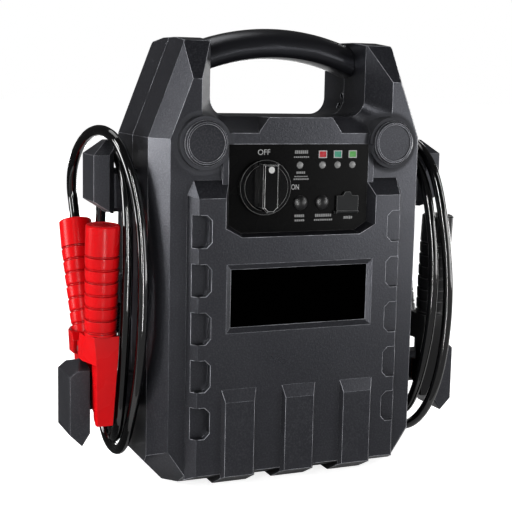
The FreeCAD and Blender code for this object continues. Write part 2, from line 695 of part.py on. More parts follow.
def front_housing():
    brow = box(-BROW_HALF_W, BROW_HALF_W, -BROW_Y, -FACE_Y + WALL, BROW_BOTTOM, OPEN_BOTTOM)
    solid = body_block(0).fuse([raised_panel(), foot_ribs(), brow]).cut(opening_cut(0))
    hump = prism_y([(-HUMP_FOOT_X, FLARE_BOTTOM - WALL), (HUMP_FOOT_X, FLARE_BOTTOM - WALL),
                    (HUMP_FOOT_X, FLARE_BOTTOM), (HUMP_TOP_X, OPEN_BOTTOM),
                    (-HUMP_TOP_X, OPEN_BOTTOM), (-HUMP_FOOT_X, FLARE_BOTTOM)],
                   -BROW_Y, -FLARE_START_Y)
    boss = rod((CAP_X, -FLARE_START_Y, CAP_Z), (CAP_X, -BOSS_Y, CAP_Z), BOSS_R)
    boss = plane_cut(boss, (0, 0, BOSS_FLAT_Z), (0, 0, -1))
    solid = trim_half(solid.fuse([hump, both_x(boss)]), -1)
    pocket_in = NOTCH_IN_X - WALL
    seat_y = -RAISED_Y + LABEL_DEPTH + LABEL_T
    shelf_z = LABEL_Z0 - LABEL_BEVEL - WALL
    low = box(-pocket_in, pocket_in, -RAISED_Y + WALL, 0, RAISED_SILL_Z + 2 * WALL, shelf_z)
    mid = box(-pocket_in, pocket_in, seat_y + WALL, 0, shelf_z, RECESS_FOOT_Z - WALL)
    recess = bevel_pocket(LABEL_HALF_W, LABEL_Z0, LABEL_Z1, -RAISED_Y,
                          -RAISED_Y + LABEL_DEPTH, LABEL_BEVEL)
    seat = box(-LABEL_HALF_W - SEAT_GAP, LABEL_HALF_W + SEAT_GAP, -RAISED_Y + LABEL_DEPTH,
               seat_y, LABEL_Z0 - SEAT_GAP, LABEL_Z1 + SEAT_GAP)
    solid = solid.cut([inner_space(), low, mid, control_recess(), recess, seat] + notch_cuts())
    solid = solid.fuse(half_posts(-1) + battery_ribs(-1) + bracket_lugs(-1))
    cuts = stem_slots(1) + stem_slots(-1) + strap_slots()
    for side in (1, -1):
        cuts.append(rod((side * CAP_X, -FACE_Y + 5 * WALL, CAP_Z),
                        (side * CAP_X, -BOSS_Y - WALL, CAP_Z), CAP_STEM_R + SHAFT_CLEAR))
        for x, z in CASE_SCREWS:
            cuts.append(rod((side * x, WALL, z), (side * x, -CASE_BITE - WALL, z),
                            CASE_SCREW_R + SHAFT_CLEAR))
    return solid.cut(cuts)


def rear_housing():
    back = mirror_y(raised_panel().fuse(foot_ribs()))
    solid = trim_half(body_block(0).fuse(back).cut(opening_cut(0)), 1)
    pocket_in = NOTCH_IN_X - WALL
    hollow = box(-pocket_in, pocket_in, 0, RAISED_Y - WALL,
                 RAISED_SILL_Z + 2 * WALL, RAISED_FLAT_TOP - 2 * WALL)
    solid = solid.cut([inner_space(), hollow])
    boss = box(OPEN_HALF_W + WALL / 2, STRAP_LEG_X, 0, STRAP_HALF_W,
               STRAP_LEG_BOTTOM, TOWER_SCREW_YZ[0][1] + POST_R)
    solid = solid.fuse(half_posts(1) + battery_ribs(1) + bracket_lugs(1) + [both_x(boss)])
    cuts = stem_slots(1) + stem_slots(-1) + strap_slots()
    for side in (1, -1):
        for x, z in CASE_SCREWS:
            cuts.append(rod((side * x, -WALL, z), (side * x, RAISED_Y, z),
                            CASE_SCREW_R + SHAFT_CLEAR))
            cuts.append(rod((side * x, CASE_SINK, z), (side * x, RAISED_Y + WALL, z),
                            CASE_HEAD_R + SEAT_GAP))
        for y, z in TOWER_SCREW_YZ:
            cuts.append(rod((side * (OPEN_HALF_W - WALL), y, z), (side * STRAP_LEG_X, y, z),
                            TOWER_SCREW_R + SHAFT_CLEAR))
            cuts.append(rod((side * (OPEN_HALF_W - WALL), y, z),
                            (side * (OPEN_HALF_W + TOWER_SCREW_SINK + WALL / 2), y, z),
                            TOWER_SCREW_HEAD_R + SHAFT_CLEAR))
        cuts.append(rod((side * (BODY_HALF_W - 2 * WALL), GLAND_Y, HOOD_SPIGOT_Z),
                        (side * (BODY_HALF_W + WALL), GLAND_Y, HOOD_SPIGOT_Z),
                        HOOD_SPIGOT_R + SHAFT_CLEAR))
    return solid.cut(cuts)


def case_screws():
    screws = []
    for side in (1, -1):
        for x, z in CASE_SCREWS:
            shank = rod((side * x, -CASE_BITE, z), (side * x, CASE_SINK, z), CASE_SCREW_R)
            head = rod((side * x, CASE_SINK, z), (side * x, CASE_SINK + CASE_HEAD_T, z), CASE_HEAD_R)
            screws.append(shank.fuse(head))
    return Part.makeCompound(screws)


def tower_screws():
    screws = []
    head_x = OPEN_HALF_W + TOWER_SCREW_SINK
    for side in (1, -1):
        for y, z in TOWER_SCREW_YZ:
            shank = rod((side * head_x, y, z), (side * (STRAP_LEG_X + STRAP_T), y, z), TOWER_SCREW_R)
            head = rod((side * head_x, y, z), (side * (head_x + WALL / 2), y, z), TOWER_SCREW_HEAD_R)
            screws.append(shank.fuse(head))
    return Part.makeCompound(screws)


def handle_section(centre_z):
    """Grip section at the middle of the handle: four arcs with soft edges."""
    corners = [V(0, -GRIP_EDGE_Y, centre_z + GRIP_EDGE_Z), V(0, GRIP_EDGE_Y, centre_z + GRIP_EDGE_Z),
               V(0, GRIP_LOW_Y, centre_z + GRIP_LOW_Z), V(0, -GRIP_LOW_Y, centre_z + GRIP_LOW_Z)]
    bulges = [V(0, 0, centre_z + GRIP_TOP), V(0, GRIP_HALF_W, centre_z + GRIP_SIDE_Z),
              V(0, 0, centre_z + GRIP_UNDER), V(0, -GRIP_HALF_W, centre_z + GRIP_SIDE_Z)]
    edges = []
    for i in range(4):
        edges.append(Part.Arc(corners[i], bulges[i], corners[(i + 1) % 4]).toShape())
    return Part.Face(Part.Wire(edges))


def arched(section, half_span):
    """A section swept along the handle's arc and cut square at both towers."""
    angle = math.degrees(math.asin((half_span + GRIP_TOP) / HANDLE_R))
    centre = V(0, 0, HANDLE_MID_Z - HANDLE_R)
    section.rotate(centre, V(0, 1, 0), -angle)
    arch = section.revolve(centre, V(0, 1, 0), 2 * angle)
    arch = plane_cut(arch, (half_span, 0, 0), (1, 0, 0))
    return plane_cut(arch, (-half_span, 0, 0), (-1, 0, 0))


def strap_band(gap, half_span):
    half_t = STRAP_T / 2 + gap
    half_w = STRAP_HALF_W + gap
    pts = [(-half_w, HANDLE_MID_Z - half_t), (half_w, HANDLE_MID_Z - half_t),
           (half_w, HANDLE_MID_Z + half_t), (-half_w, HANDLE_MID_Z + half_t)]
    section = Part.Face(Part.makePolygon([V(0, y, z) for y, z in pts + pts[:1]]))
    return arched(section, half_span)


def handle_grip():
    grip = arched(handle_section(HANDLE_MID_Z), OPEN_HALF_W)
    return grip.cut(strap_band(STRAP_GAP, OPEN_HALF_W + WALL))


def handle_strap():
    outer_x = STRAP_LEG_X + STRAP_T
    end_z = HANDLE_MID_Z - HANDLE_R + math.sqrt(HANDLE_R ** 2 - STRAP_LEG_X ** 2)
    leg = box(STRAP_LEG_X, outer_x, -STRAP_HALF_W, STRAP_HALF_W, STRAP_LEG_BOTTOM, end_z)
    strap = strap_band(0, outer_x).fuse(both_x(leg))
    for side in (1, -1):
        for y, z in TOWER_SCREW_YZ:
            strap = strap.cut(rod((side * (STRAP_LEG_X - WALL), y, z),
                                  (side * (outer_x + WALL), y, z), TOWER_SCREW_R + SHAFT_CLEAR))
    return strap


def corner_cap():
    face_y = -BOSS_Y - CAP_PROUD
    disc = rod((CAP_X, -BOSS_Y, CAP_Z), (CAP_X, face_y + CAP_EDGE, CAP_Z), CAP_R)
    rim = cone((CAP_X, face_y + CAP_EDGE, CAP_Z), (CAP_X, face_y, CAP_Z), CAP_R, CAP_R - CAP_EDGE)
    stem = rod((CAP_X, -BOSS_Y + CAP_STEM_L, CAP_Z), (CAP_X, -BOSS_Y, CAP_Z), CAP_STEM_R)
    return disc.fuse([rim, stem])


def label_plate():
    front = -RAISED_Y + LABEL_DEPTH
    return box(-LABEL_HALF_W, LABEL_HALF_W, front, front + LABEL_T, LABEL_Z0, LABEL_Z1)


def board_corners():
    for x in (BOARD_X0 + BOARD_POST_IN, BOARD_X1 - BOARD_POST_IN):
        for z in (BOARD_Z0 + BOARD_POST_IN, BOARD_Z1 - BOARD_POST_IN):
            yield x, z


def cover_low():
    """Z of the lower edge of the socket cover."""
    return USB_Z - COVER_H / 2


def hinge_axis():
    """Y and Z of the socket cover's hinge."""
    return -PLATE_Y - HINGE_R - COVER_GAP, cover_low() - HINGE_R


def cover_lugs():
    """Two ears on the plate that hold the hinge pin."""
    hinge_y, hinge_z = hinge_axis()
    lugs = []
    for side in (1, -1):
        near = USB_X + side * (COVER_W / 2 + COVER_GAP)
        far = near + side * LUG_T
        x0, x1 = sorted((near, far))
        lug = rod((x0, hinge_y, hinge_z), (x1, hinge_y, hinge_z), HINGE_R)
        foot = box(x0, x1, hinge_y, -PLATE_Y, hinge_z - HINGE_R, hinge_z + HINGE_R)
        hole = rod((x0 - LUG_T, hinge_y, hinge_z), (x1 + LUG_T, hinge_y, hinge_z),
                   HINGE_PIN_R + HINGE_CLEAR)
        lugs.append(lug.fuse(foot).cut(hole))
    return lugs


def control_panel():
    back = -PLATE_Y + PLATE_T
    outline = panel_outline(PLATE_HALF_W, PLATE_LOW_Z, PLATE_FOOT_X, PLATE_FOOT_Z, PLATE_TOP)
    plate = prism_y(outline, -PLATE_Y, back)
    solids = []
    for x, z in board_corners():
        solids.append(rod((x, back, z), (x, -BOARD_Y, z), BOARD_POST_R))
    edge = WINDOW_HALF_W - SEAT_GAP
    ledge_y = -FACE_Y + WALL + SEAT_GAP
    for side in (1, -1):
        for z in CLIP_Z:
            arm = box(edge - CLIP_T, edge, back, ledge_y + CLIP_T, z - CLIP_W / 2, z + CLIP_W / 2)
            hook = box(edge, edge + CLIP_HOOK, ledge_y, ledge_y + CLIP_T,
                       z - CLIP_W / 2, z + CLIP_W / 2)
            clip = arm.fuse(hook)
            solids.append(clip if side > 0 else mirror_x(clip))
    plate = plate.fuse(solids + cover_lugs())
    front, rear = -PLATE_Y - WALL, back + WALL
    cuts = [rod((KNOB_X, front, KNOB_Z), (KNOB_X, rear, KNOB_Z), SHAFT_R + SHAFT_CLEAR)]
    for x in BUTTON_X:
        cuts.append(rod((x, front, BUTTON_Z), (x, rear, BUTTON_Z), BUTTON_R + BUTTON_CLEAR))
    for x in LAMP_X:
        cuts.append(rod((x, front, LAMP_Z), (x, rear, LAMP_Z), LAMP_R))
    for x in LEVEL_X:
        cuts.append(box(x - LEVEL_W / 2, x + LEVEL_W / 2, front, -PLATE_Y + LEVEL_T,
                        LEVEL_Z - LEVEL_H / 2, LEVEL_Z + LEVEL_H / 2))
    usb_w = USB_W / 2 + USB_SHELL + SEAT_GAP
    usb_h = USB_H / 2 + USB_SHELL + SEAT_GAP
    cuts.append(box(USB_X - usb_w, USB_X + usb_w, -PLATE_Y, rear, USB_Z - usb_h, USB_Z + usb_h))
    for x, z in board_corners():
        cuts.append(rod((x, -BOARD_Y - 3 * WALL, z), (x, -BOARD_Y, z), BOARD_SCREW_R))
    return plate.cut(cuts)


def control_board():
    board = box(BOARD_X0, BOARD_X1, -BOARD_Y, -BOARD_Y + BOARD_T, BOARD_Z0, BOARD_Z1)
    for x, z in board_corners():
        board = board.cut(rod((x, -BOARD_Y - BOARD_T, z), (x, -BOARD_Y + 2 * BOARD_T, z),
                              BOARD_SCREW_R))
    return board


def board_screws():
    screws = []
    for x, z in board_corners():
        seat = -BOARD_Y + BOARD_T
        shank = rod((x, -BOARD_Y - 2 * WALL, z), (x, seat, z), BOARD_SCREW_R)
        head = rod((x, seat, z), (x, seat + BOARD_T, z), BOARD_SCREW_HEAD)
        screws.append(shank.fuse(head))
    return Part.makeCompound(screws)


def plate_button(x):
    """A domed push button with a flange behind the plate and a short stem."""
    back = -PLATE_Y + PLATE_T
    rim_y = -PLATE_Y - BUTTON_PROUD
    body = rod((x, back + COVER_GAP, BUTTON_Z), (x, rim_y, BUTTON_Z), BUTTON_R)
    flange = rod((x, back + COVER_GAP, BUTTON_Z),
                 (x, back + COVER_GAP + BUTTON_FLANGE_T, BUTTON_Z), BUTTON_R + BUTTON_FLANGE)
    stem_end = tact_top() - BUTTON_TRAVEL - TACT_GAP
    stem = rod((x, back + COVER_GAP, BUTTON_Z), (x, stem_end, BUTTON_Z), BUTTON_STEM_R)
    dome_r = (BUTTON_R ** 2 + BUTTON_DOME ** 2) / (2 * BUTTON_DOME)
    ball = Part.makeSphere(dome_r, V(x, rim_y + dome_r - BUTTON_DOME, BUTTON_Z))
    dome = plane_cut(ball, (x, rim_y, BUTTON_Z), (0, 1, 0))
    return body.fuse([flange, stem, dome])


def tact_top():
    """Y of the front of the small switches on the board."""
    return -BOARD_Y - TACT_W


def tact_switches():
    parts = []
    for x in BUTTON_X:
        half = TACT_W / 2
        case = box(x - half, x + half, -BOARD_Y - half, -BOARD_Y, BUTTON_Z - half, BUTTON_Z + half)
        nib = rod((x, -BOARD_Y - half, BUTTON_Z), (x, tact_top(), BUTTON_Z), BUTTON_STEM_R)
        parts.append(case.fuse(nib))
    return Part.makeCompound(parts)


def lamp_lenses():
    lamps = []
    for x in LAMP_X:
        lamps.append(rod((x, -PLATE_Y - LAMP_PROUD, LAMP_Z), (x, -BOARD_Y, LAMP_Z), LAMP_R))
    return Part.makeCompound(lamps)


def level_windows():
    tiles = []
    for x in LEVEL_X:
        tiles.append(box(x - LEVEL_W / 2, x + LEVEL_W / 2, -PLATE_Y - GROWN, -PLATE_Y + LEVEL_T,
                         LEVEL_Z - LEVEL_H / 2, LEVEL_Z + LEVEL_H / 2))
    return Part.makeCompound(tiles)


def usb_socket():
    out_w = USB_W / 2 + USB_SHELL
    out_h = USB_H / 2 + USB_SHELL
    case = box(USB_X - out_w, USB_X + out_w, -PLATE_Y, -BOARD_Y, USB_Z - out_h, USB_Z + out_h)
    mouth = box(USB_X - USB_W / 2, USB_X + USB_W / 2, -PLATE_Y, -BOARD_Y - USB_SHELL,
                USB_Z - USB_H / 2, USB_Z + USB_H / 2)
    return case.cut(mouth)


def socket_cover():
    hinge_y, hinge_z = hinge_axis()
    front = -PLATE_Y - COVER_GAP - COVER_T
    half = COVER_W / 2
    flap = box(USB_X - half, USB_X + half, front, -PLATE_Y - COVER_GAP,
               cover_low(), cover_low() + COVER_H)
    tab = prism_y([(USB_X - COVER_TAB_W / 2, cover_low() + COVER_H),
                   (USB_X + COVER_TAB_W / 2, cover_low() + COVER_H),
                   (USB_X + COVER_TAB_W / 4, cover_low() + COVER_H + COVER_TAB_H),
                   (USB_X - COVER_TAB_W / 4, cover_low() + COVER_H + COVER_TAB_H)],
                  front, -PLATE_Y - COVER_GAP)
    barrel = rod((USB_X - half, hinge_y, hinge_z), (USB_X + half, hinge_y, hinge_z), HINGE_R)
    web = box(USB_X - half, USB_X + half, hinge_y - HINGE_R, hinge_y, hinge_z, cover_low())
    reach = half + COVER_GAP + LUG_T
    pin = rod((USB_X - reach, hinge_y, hinge_z), (USB_X + reach, hinge_y, hinge_z), HINGE_PIN_R)
    return flap.fuse([tab, barrel, web, pin])


def knob_front():
    """Y of the front of the knob's bar."""
    return -PLATE_Y - KNOB_GAP - SKIRT_T - TIER_T - BAR_H


def pointer_z():
    return KNOB_Z + BAR_L / 2 - POINTER_DOWN


def switch_knob():
    back = -PLATE_Y - KNOB_GAP
    tier_back = back - SKIRT_T
    bar_back = tier_back - TIER_T
    skirt = rod((KNOB_X, back, KNOB_Z), (KNOB_X, tier_back, KNOB_Z), SKIRT_R)
    tier = rod((KNOB_X, tier_back, KNOB_Z), (KNOB_X, bar_back, KNOB_Z), TIER_R)
    half_w, half_l = BAR_W / 2, BAR_L / 2
    outline = [(KNOB_X - half_w, KNOB_Z + half_l), (KNOB_X - half_w, KNOB_Z - half_l + BAR_TAIL),
               (KNOB_X - half_w + BAR_TAIL, KNOB_Z - half_l),
               (KNOB_X + half_w - BAR_TAIL, KNOB_Z - half_l),
               (KNOB_X + half_w, KNOB_Z - half_l + BAR_TAIL), (KNOB_X + half_w, KNOB_Z + half_l)]
    bar = prism_y(outline, knob_front(), bar_back)
    front_edges = [e for e in bar.Edges if abs(e.BoundBox.YMax - knob_front()) < GROWN]
    bar = bar.makeChamfer(BAR_CHAMFER, front_edges)
    bore = rod((KNOB_X, back, KNOB_Z), (KNOB_X, bar_back - BAR_H / 2, KNOB_Z), SHAFT_R)
    inlay = rod((KNOB_X, knob_front() + POINTER_T, pointer_z()),
                (KNOB_X, knob_front() - WALL, pointer_z()), POINTER_R)
    return skirt.fuse([tier, bar]).cut([bore, inlay])


def knob_pointer():
    return rod((KNOB_X, knob_front() + POINTER_T, pointer_z()),
               (KNOB_X, knob_front() - GROWN / 2, pointer_z()), POINTER_R)


def switch_shaft():
    front = -PLATE_Y - KNOB_GAP - SKIRT_T - TIER_T - BAR_H / 2
    return rod((KNOB_X, front, KNOB_Z), (KNOB_X, switch_back() - WALL, KNOB_Z), SHAFT_R)


def switch_back():
    return -PLATE_Y + PLATE_T + SWITCH_D


def switch_body():
    front = -PLATE_Y + PLATE_T
    half = SWITCH_W / 2
    case = box(KNOB_X - half, KNOB_X + half, front, switch_back(), KNOB_Z - half, KNOB_Z + half)
    bore = rod((KNOB_X, front - WALL, KNOB_Z), (KNOB_X, switch_back() - WALL + SEAT_GAP, KNOB_Z),
               SHAFT_R + SHAFT_CLEAR)
    return case.cut(bore)


def switch_studs():
    """Two studs behind the switch, each with a cable lug whose barrel points down."""
    studs = []
    for side in (1, -1):
        x = KNOB_X + side * STUD_OFF
        half = CABLE_LUG_W / 2
        stud = rod((x, switch_back(), KNOB_Z), (x, switch_back() + STUD_L, KNOB_Z), STUD_R)
        lug = box(x - half, x + half, CABLE_LUG_Y - CABLE_LUG_T / 2, CABLE_LUG_Y + CABLE_LUG_T / 2,
                  BARREL_LOW + WALL, KNOB_Z + half)
        barrel = rod((x, CABLE_LUG_Y, BARREL_LOW), (x, CABLE_LUG_Y, BARREL_TOP), BARREL_R)
        studs.append(stud.fuse([lug, barrel]))
    return Part.makeCompound(studs)


def battery():
    return box(-BATT_HALF_W, BATT_HALF_W, -BATT_HALF_D, BATT_HALF_D, BATT_SEAT, BATT_SEAT + BATT_H)


def battery_terminals():
    top = BATT_SEAT + BATT_H
    half = TERMINAL_W / 2
    posts = []
    for side in (1, -1):
        x = side * TERMINAL_X
        posts.append(box(x - half, x + half, TERMINAL_Y - half, TERMINAL_Y + half,
                         top, top + TERMINAL_H))
    return Part.makeCompound(posts)


def battery_bracket():
    top = BATT_SEAT + BATT_H
    bar = box(-BRACKET_END_X, BRACKET_END_X, -BRACKET_HALF_D, BRACKET_HALF_D, top, top + BRACKET_T)
    for side in (1, -1):
        bar = bar.cut(rod((side * BRACKET_SCREW_X, 0, top - WALL),
                          (side * BRACKET_SCREW_X, 0, top + 2 * WALL), BRACKET_SCREW_R))
    return bar


def bracket_screws():
    top = BATT_SEAT + BATT_H + BRACKET_T
    screws = []
    for side in (1, -1):
        x = side * BRACKET_SCREW_X
        shank = rod((x, 0, top - BRACKET_T - BRACKET_HALF_D / 2), (x, 0, top), BRACKET_SCREW_R)
        head = rod((x, 0, top), (x, 0, top + WALL), 2 * BRACKET_SCREW_R)
        screws.append(shank.fuse(head))
    return Part.makeCompound(screws)


def edged(block, edge):
    """A block with its edges along X bevelled."""
    long_edges = []
    for e in block.Edges:
        size = e.BoundBox
        if size.YLength < GROWN and size.ZLength < GROWN:
            long_edges.append(e)
    return block.makeChamfer(edge, long_edges)


def cleat_stem(z0, z1, head_x):
    """A stem through the side wall, with a flange trapped inside the housing."""
    inner = BODY_HALF_W - WALL - STEM_CLEAR
    stem = box(inner - STEM_FLANGE_T, head_x, -STEM_HALF_D, STEM_HALF_D, z0, z1)
    stem = edged(stem, STEM_EDGE)
    flange = box(inner - STEM_FLANGE_T, inner, -STEM_HALF_D - STEM_FLANGE,
                 STEM_HALF_D + STEM_FLANGE, z0 - STEM_FLANGE, z1 + STEM_FLANGE)
    return stem.fuse(flange)


def upper_cleat():
    x0, x1 = UPPER_HEAD_X0, UPPER_HEAD_X1
    z0, z1 = UPPER_HEAD_Z0, UPPER_HEAD_Z1
    half = UPPER_HEAD_HALF_D
    head = box(x0, x1, -half, half, z0, z1)
    bevel = UPPER_BEVEL_TOP
    head = plane_cut(head, (x1, 0, z1 - bevel), (bevel, 0, x1 - x0 - UPPER_NECK))
    head = plane_cut(head, (x1, 0, z0 + UPPER_BEVEL_LOW),
                     (UPPER_BEVEL_LOW, 0, -(x1 - x0 - UPPER_LOW_NECK)))
    for side in (1, -1):
        head = plane_cut(head, (0, side * half, z1 - bevel), (0, side * bevel, bevel))
        head = plane_cut(head, (x0 + UPPER_NECK, side * half, 0),
                         (-(half - STEM_HALF_D), side * UPPER_NECK, 0))
    return head.fuse(cleat_stem(UPPER_STEM_Z0, UPPER_STEM_Z1, x0 + UPPER_NECK))


def lower_cleat():
    x0, x1 = LOWER_HEAD_X0, LOWER_HEAD_X1
    z0, z1 = LOWER_HEAD_Z0, LOWER_HEAD_Z1
    half = LOWER_HEAD_HALF_D
    outline = [(x0, z0 + LOWER_BEVEL_LOW), (LOWER_KEEL_X, z0), (x1, z0 + LOWER_BEVEL_LOW),
               (x1, z1 - LOWER_BEVEL_TOP), (x1 - LOWER_RAKE_X, z1), (x0, z1)]
    head = prism_y(outline, -half, half)
    for side in (1, -1):
        head = plane_cut(head, (0, side * half, z1 - LOWER_BEVEL_TOP / 2),
                         (0, side * LOWER_BEVEL_TOP / 2, half))
    return head.fuse(cleat_stem(LOWER_STEM_Z0, LOWER_STEM_Z1, x0))


def lead_hood():
    """Cable outlet: a hood on the side wall and a tapered strain relief."""
    wall_x = BODY_HALF_W
    outline = [(wall_x, GLAND_Z1), (HOOD_X1, GLAND_Z1), (HOOD_X1, HOOD_TOP - HOOD_RAKE),
               (wall_x + WALL, HOOD_TOP), (wall_x, HOOD_TOP)]
    hood = prism_y(outline, GLAND_Y - HOOD_HALF_D, GLAND_Y + HOOD_HALF_D)
    relief = cone((GLAND_X, GLAND_Y, GLAND_Z1), (GLAND_X, GLAND_Y, GLAND_Z0),
                  GLAND_TOP_R, GLAND_LOW_R)
    spigot = rod((INLET_X0 + WALL, GLAND_Y, HOOD_SPIGOT_Z), (wall_x, GLAND_Y, HOOD_SPIGOT_Z),
                 HOOD_SPIGOT_R)
    inlet = box(INLET_X0, INLET_X1, GLAND_Y - HOOD_SPIGOT_R, GLAND_Y + HOOD_SPIGOT_R,
                HOOD_SPIGOT_Z - INLET_HALF, HOOD_SPIGOT_Z + INLET_HALF)
    return hood.fuse([relief, spigot, inlet])


def grip_sleeve(top, low, low_r):
    """A ribbed sleeve from its wide upper end down to the top of the jaws."""
    start = V(CLAMP_X, top[0], top[1])
    end = V(CLAMP_X, low[0], low[1])
    length = (end - start).Length
    pitch = (length - GRIP_COLLAR) / GRIP_RINGS
    radii = [GRIP_END_R + (low_r - GRIP_END_R) * k / GRIP_RINGS for k in range(GRIP_RINGS + 1)]
    pts = [(LEVER_R, 0), (GRIP_END_R - 1, 0), (GRIP_END_R, 1), (GRIP_END_R, GRIP_COLLAR)]
    for i in range(GRIP_RINGS):
        at = GRIP_COLLAR + i * pitch
        low_at = at + GRIP_GROOVE
        pts += [(radii[i] - GRIP_GROOVE_DEEP, at), (radii[i] - GRIP_GROOVE_DEEP, low_at),
                (radii[i + 1], low_at), (radii[i + 1], at + pitch)]
    pts += [(low_r, length + CORE_RUN_ON), (LEVER_R, length + CORE_RUN_ON)]
    face = Part.Face(Part.makePolygon([V(r, 0, -z) for r, z in pts + pts[:1]]))
    sleeve = face.revolve(V(0, 0, 0), V(0, 0, 1), 360)
    sleeve.Placement = FreeCAD.Placement(
        start, FreeCAD.Rotation(V(0, 0, -1), end - start), V(0, 0, 0))
    return plane_cut(sleeve, tuple(end), (0, 0, -1))


def lever_core(top, low):
    """The round core that the sleeve is pushed over, run on into the jaws."""
    start = V(CLAMP_X, top[0], top[1])
    end = V(CLAMP_X, low[0], low[1])
    run_on = (end - start).normalize() * CORE_RUN_ON
    return rod(tuple(start), tuple(end + run_on), LEVER_R)


def jaw_block(top):
    """Front jaw: a faceted block with a plate reaching in to the stem."""
    shelf = LOWER_HEAD_Z1 + HEAD_CLEAR
    side_view = [(-JAW_FACE_Y, top), (-HALF_GAP_Y - STEM_FLANGE, top),
                 (-HALF_GAP_Y, PIVOT_Z + STEM_FLANGE), (-HALF_GAP_Y, shelf),
                 (-JAW_CLEAR_Y, shelf), (-JAW_CLEAR_Y, JAW_TIP_Z + STEM_FLANGE),
                 (-JAW_TIP_Y + STEM_FLANGE, JAW_TIP_Z), (-JAW_TIP_Y, JAW_TIP_Z),
                 (-JAW_FACE_Y, PIVOT_Z)]
    front_view = [(CLAMP_X - JAW_IN_TOP, top), (CLAMP_X + JAW_OUT, top),
                  (CLAMP_X + JAW_OUT, JAW_SHOULDER_Z), (CLAMP_X + JAW_OUT_NECK, shelf),
                  (CLAMP_X + JAW_OUT_LOW, JAW_TIP_Z), (CLAMP_X - JAW_IN_LOW, JAW_TIP_Z)]
    block = prism_x(side_view, CLAMP_X - JAW_OUT, CLAMP_X + JAW_OUT)
    block = block.common(prism_y(front_view, -JAW_FACE_Y, 0))
    ridge_top = V(CLAMP_X + JAW_RIDGE_TOP, -JAW_FACE_Y, top)
    ridge_low = V(CLAMP_X + JAW_RIDGE_LOW, -JAW_TIP_Y, JAW_TIP_Z)
    outer_top = V(CLAMP_X + JAW_OUT, -JAW_SIDE_Y, top)
    facet_n = (ridge_low - ridge_top).cross(outer_top - ridge_top)
    block = plane_cut(block, tuple(ridge_top), tuple(facet_n))
    pad_y = STEM_HALF_D + CONTACT_GAP + CONTACT_T
    plate = prism_x([(-JAW_CLEAR_Y - STEM_FLANGE, CONTACT_Z1 + WALL), (-pad_y, CONTACT_Z1),
                     (-pad_y, CONTACT_Z0), (-JAW_CLEAR_Y - STEM_FLANGE, JAW_TIP_Z + STEM_FLANGE)],
                    CLAMP_X - JAW_PLATE_IN, CLAMP_X + JAW_PLATE_OUT)
    return block.fuse(plate)


def ears(offsets):
    """A pair of pierced ears at the pivot, on the front side of the pin."""
    pair = []
    for side in (1, -1):
        x0, x1 = sorted((CLAMP_X + side * offsets[0], CLAMP_X + side * offsets[1]))
        disc = rod((x0, 0, PIVOT_Z), (x1, 0, PIVOT_Z), EAR_R)
        arm = box(x0, x1, -HALF_GAP_Y - 1, 0, PIVOT_Z - EAR_R, PIVOT_Z + STEM_FLANGE)
        pair.append(disc.fuse(arm))
    return pair


def pin_bore(clear):
    return rod((CLAMP_X - EAR_OUT[1] - WALL, 0, PIVOT_Z), (CLAMP_X + EAR_OUT[1] + WALL, 0, PIVOT_Z),
               PIN_R + clear)


def clamp_front_lever():
    lever = lever_core(FRONT_GRIP_TOP, FRONT_GRIP_LOW)
    return lever.fuse([jaw_block(FRONT_GRIP_LOW[1])] + ears(EAR_OUT)).cut(pin_bore(PIN_CLEAR))


def clamp_rear_lever():
    lever = lever_core(REAR_GRIP_TOP, REAR_GRIP_LOW)
    rear = [mirror_y(s) for s in [jaw_block(REAR_GRIP_LOW[1])] + ears(EAR_IN)]
    return lever.fuse(rear).cut(pin_bore(PIN_CLEAR / 2))


def clamp_contact():
    """A toothed copper strip on the jaw plate, facing the stem."""
    inner = -(STEM_HALF_D + CONTACT_GAP)
    pitch = (CONTACT_Z1 - CONTACT_Z0) / CONTACT_TEETH
    pts = [(inner - CONTACT_T, CONTACT_Z0), (inner - CONTACT_T, CONTACT_Z1)]
    for i in range(CONTACT_TEETH):
        z = CONTACT_Z1 - i * pitch
        pts += [(inner - CONTACT_TOOTH, z), (inner, z - pitch / 2)]
    pts.append((inner - CONTACT_TOOTH, CONTACT_Z0))
    return prism_x(pts, CLAMP_X - JAW_PLATE_IN, CLAMP_X + JAW_PLATE_OUT)


def clamp_pin():
    reach = EAR_OUT[1] + 1
    return rod((CLAMP_X - reach, 0, PIVOT_Z), (CLAMP_X + reach, 0, PIVOT_Z), PIN_R)


def clamp_spring():
    ends = ((CLAMP_X - SPRING_HALF_L, 0, PIVOT_Z), (CLAMP_X + SPRING_HALF_L, 0, PIVOT_Z))
    return rod(ends[0], ends[1], SPRING_R).cut(rod(ends[0], ends[1], PIN_R + SPRING_GAP))


def route_path(points):
    """Straight runs joined by tangent arcs, each as large as its runs allow."""
    pts = [V(*p) for p in points]
    start = pts[0]
    edges = []
    radii = []
    length = 0.0
    for i in range(1, len(pts) - 1):
        before = pts[i] - pts[i - 1]
        after = pts[i + 1] - pts[i]
        turn = before.getAngle(after)
        back = 0.45 * min(before.Length, after.Length)
        radius = back / math.tan(turn / 2)
        into = before.normalize()
        out = after.normalize()
        arc_start = pts[i] - into * back
        arc_end = pts[i] + out * back
        centre_way = (out - into).normalize()
        centre = pts[i] + centre_way * (radius / math.cos(turn / 2))
        middle = centre - centre_way * radius
        edges.append(Part.LineSegment(start, arc_start).toShape())
        edges.append(Part.Arc(arc_start, middle, arc_end).toShape())
        length += (arc_start - start).Length + radius * turn
        radii.append(radius)
        start = arc_end
    edges.append(Part.LineSegment(start, pts[-1]).toShape())
    length += (pts[-1] - start).Length
    return Part.Wire(edges), radii, length


def least_gap(path, tube_r, skip):
    """Least distance between two stretches of one tube, measured on points."""
    step = tube_r / 2
    line = path.discretize(Distance=step)
    apart = int(skip / step)
    best = BIG
    for i, a in enumerate(line):
        for b in line[i + apart:]:
            best = min(best, (a - b).Length)
    return best - 2 * tube_r


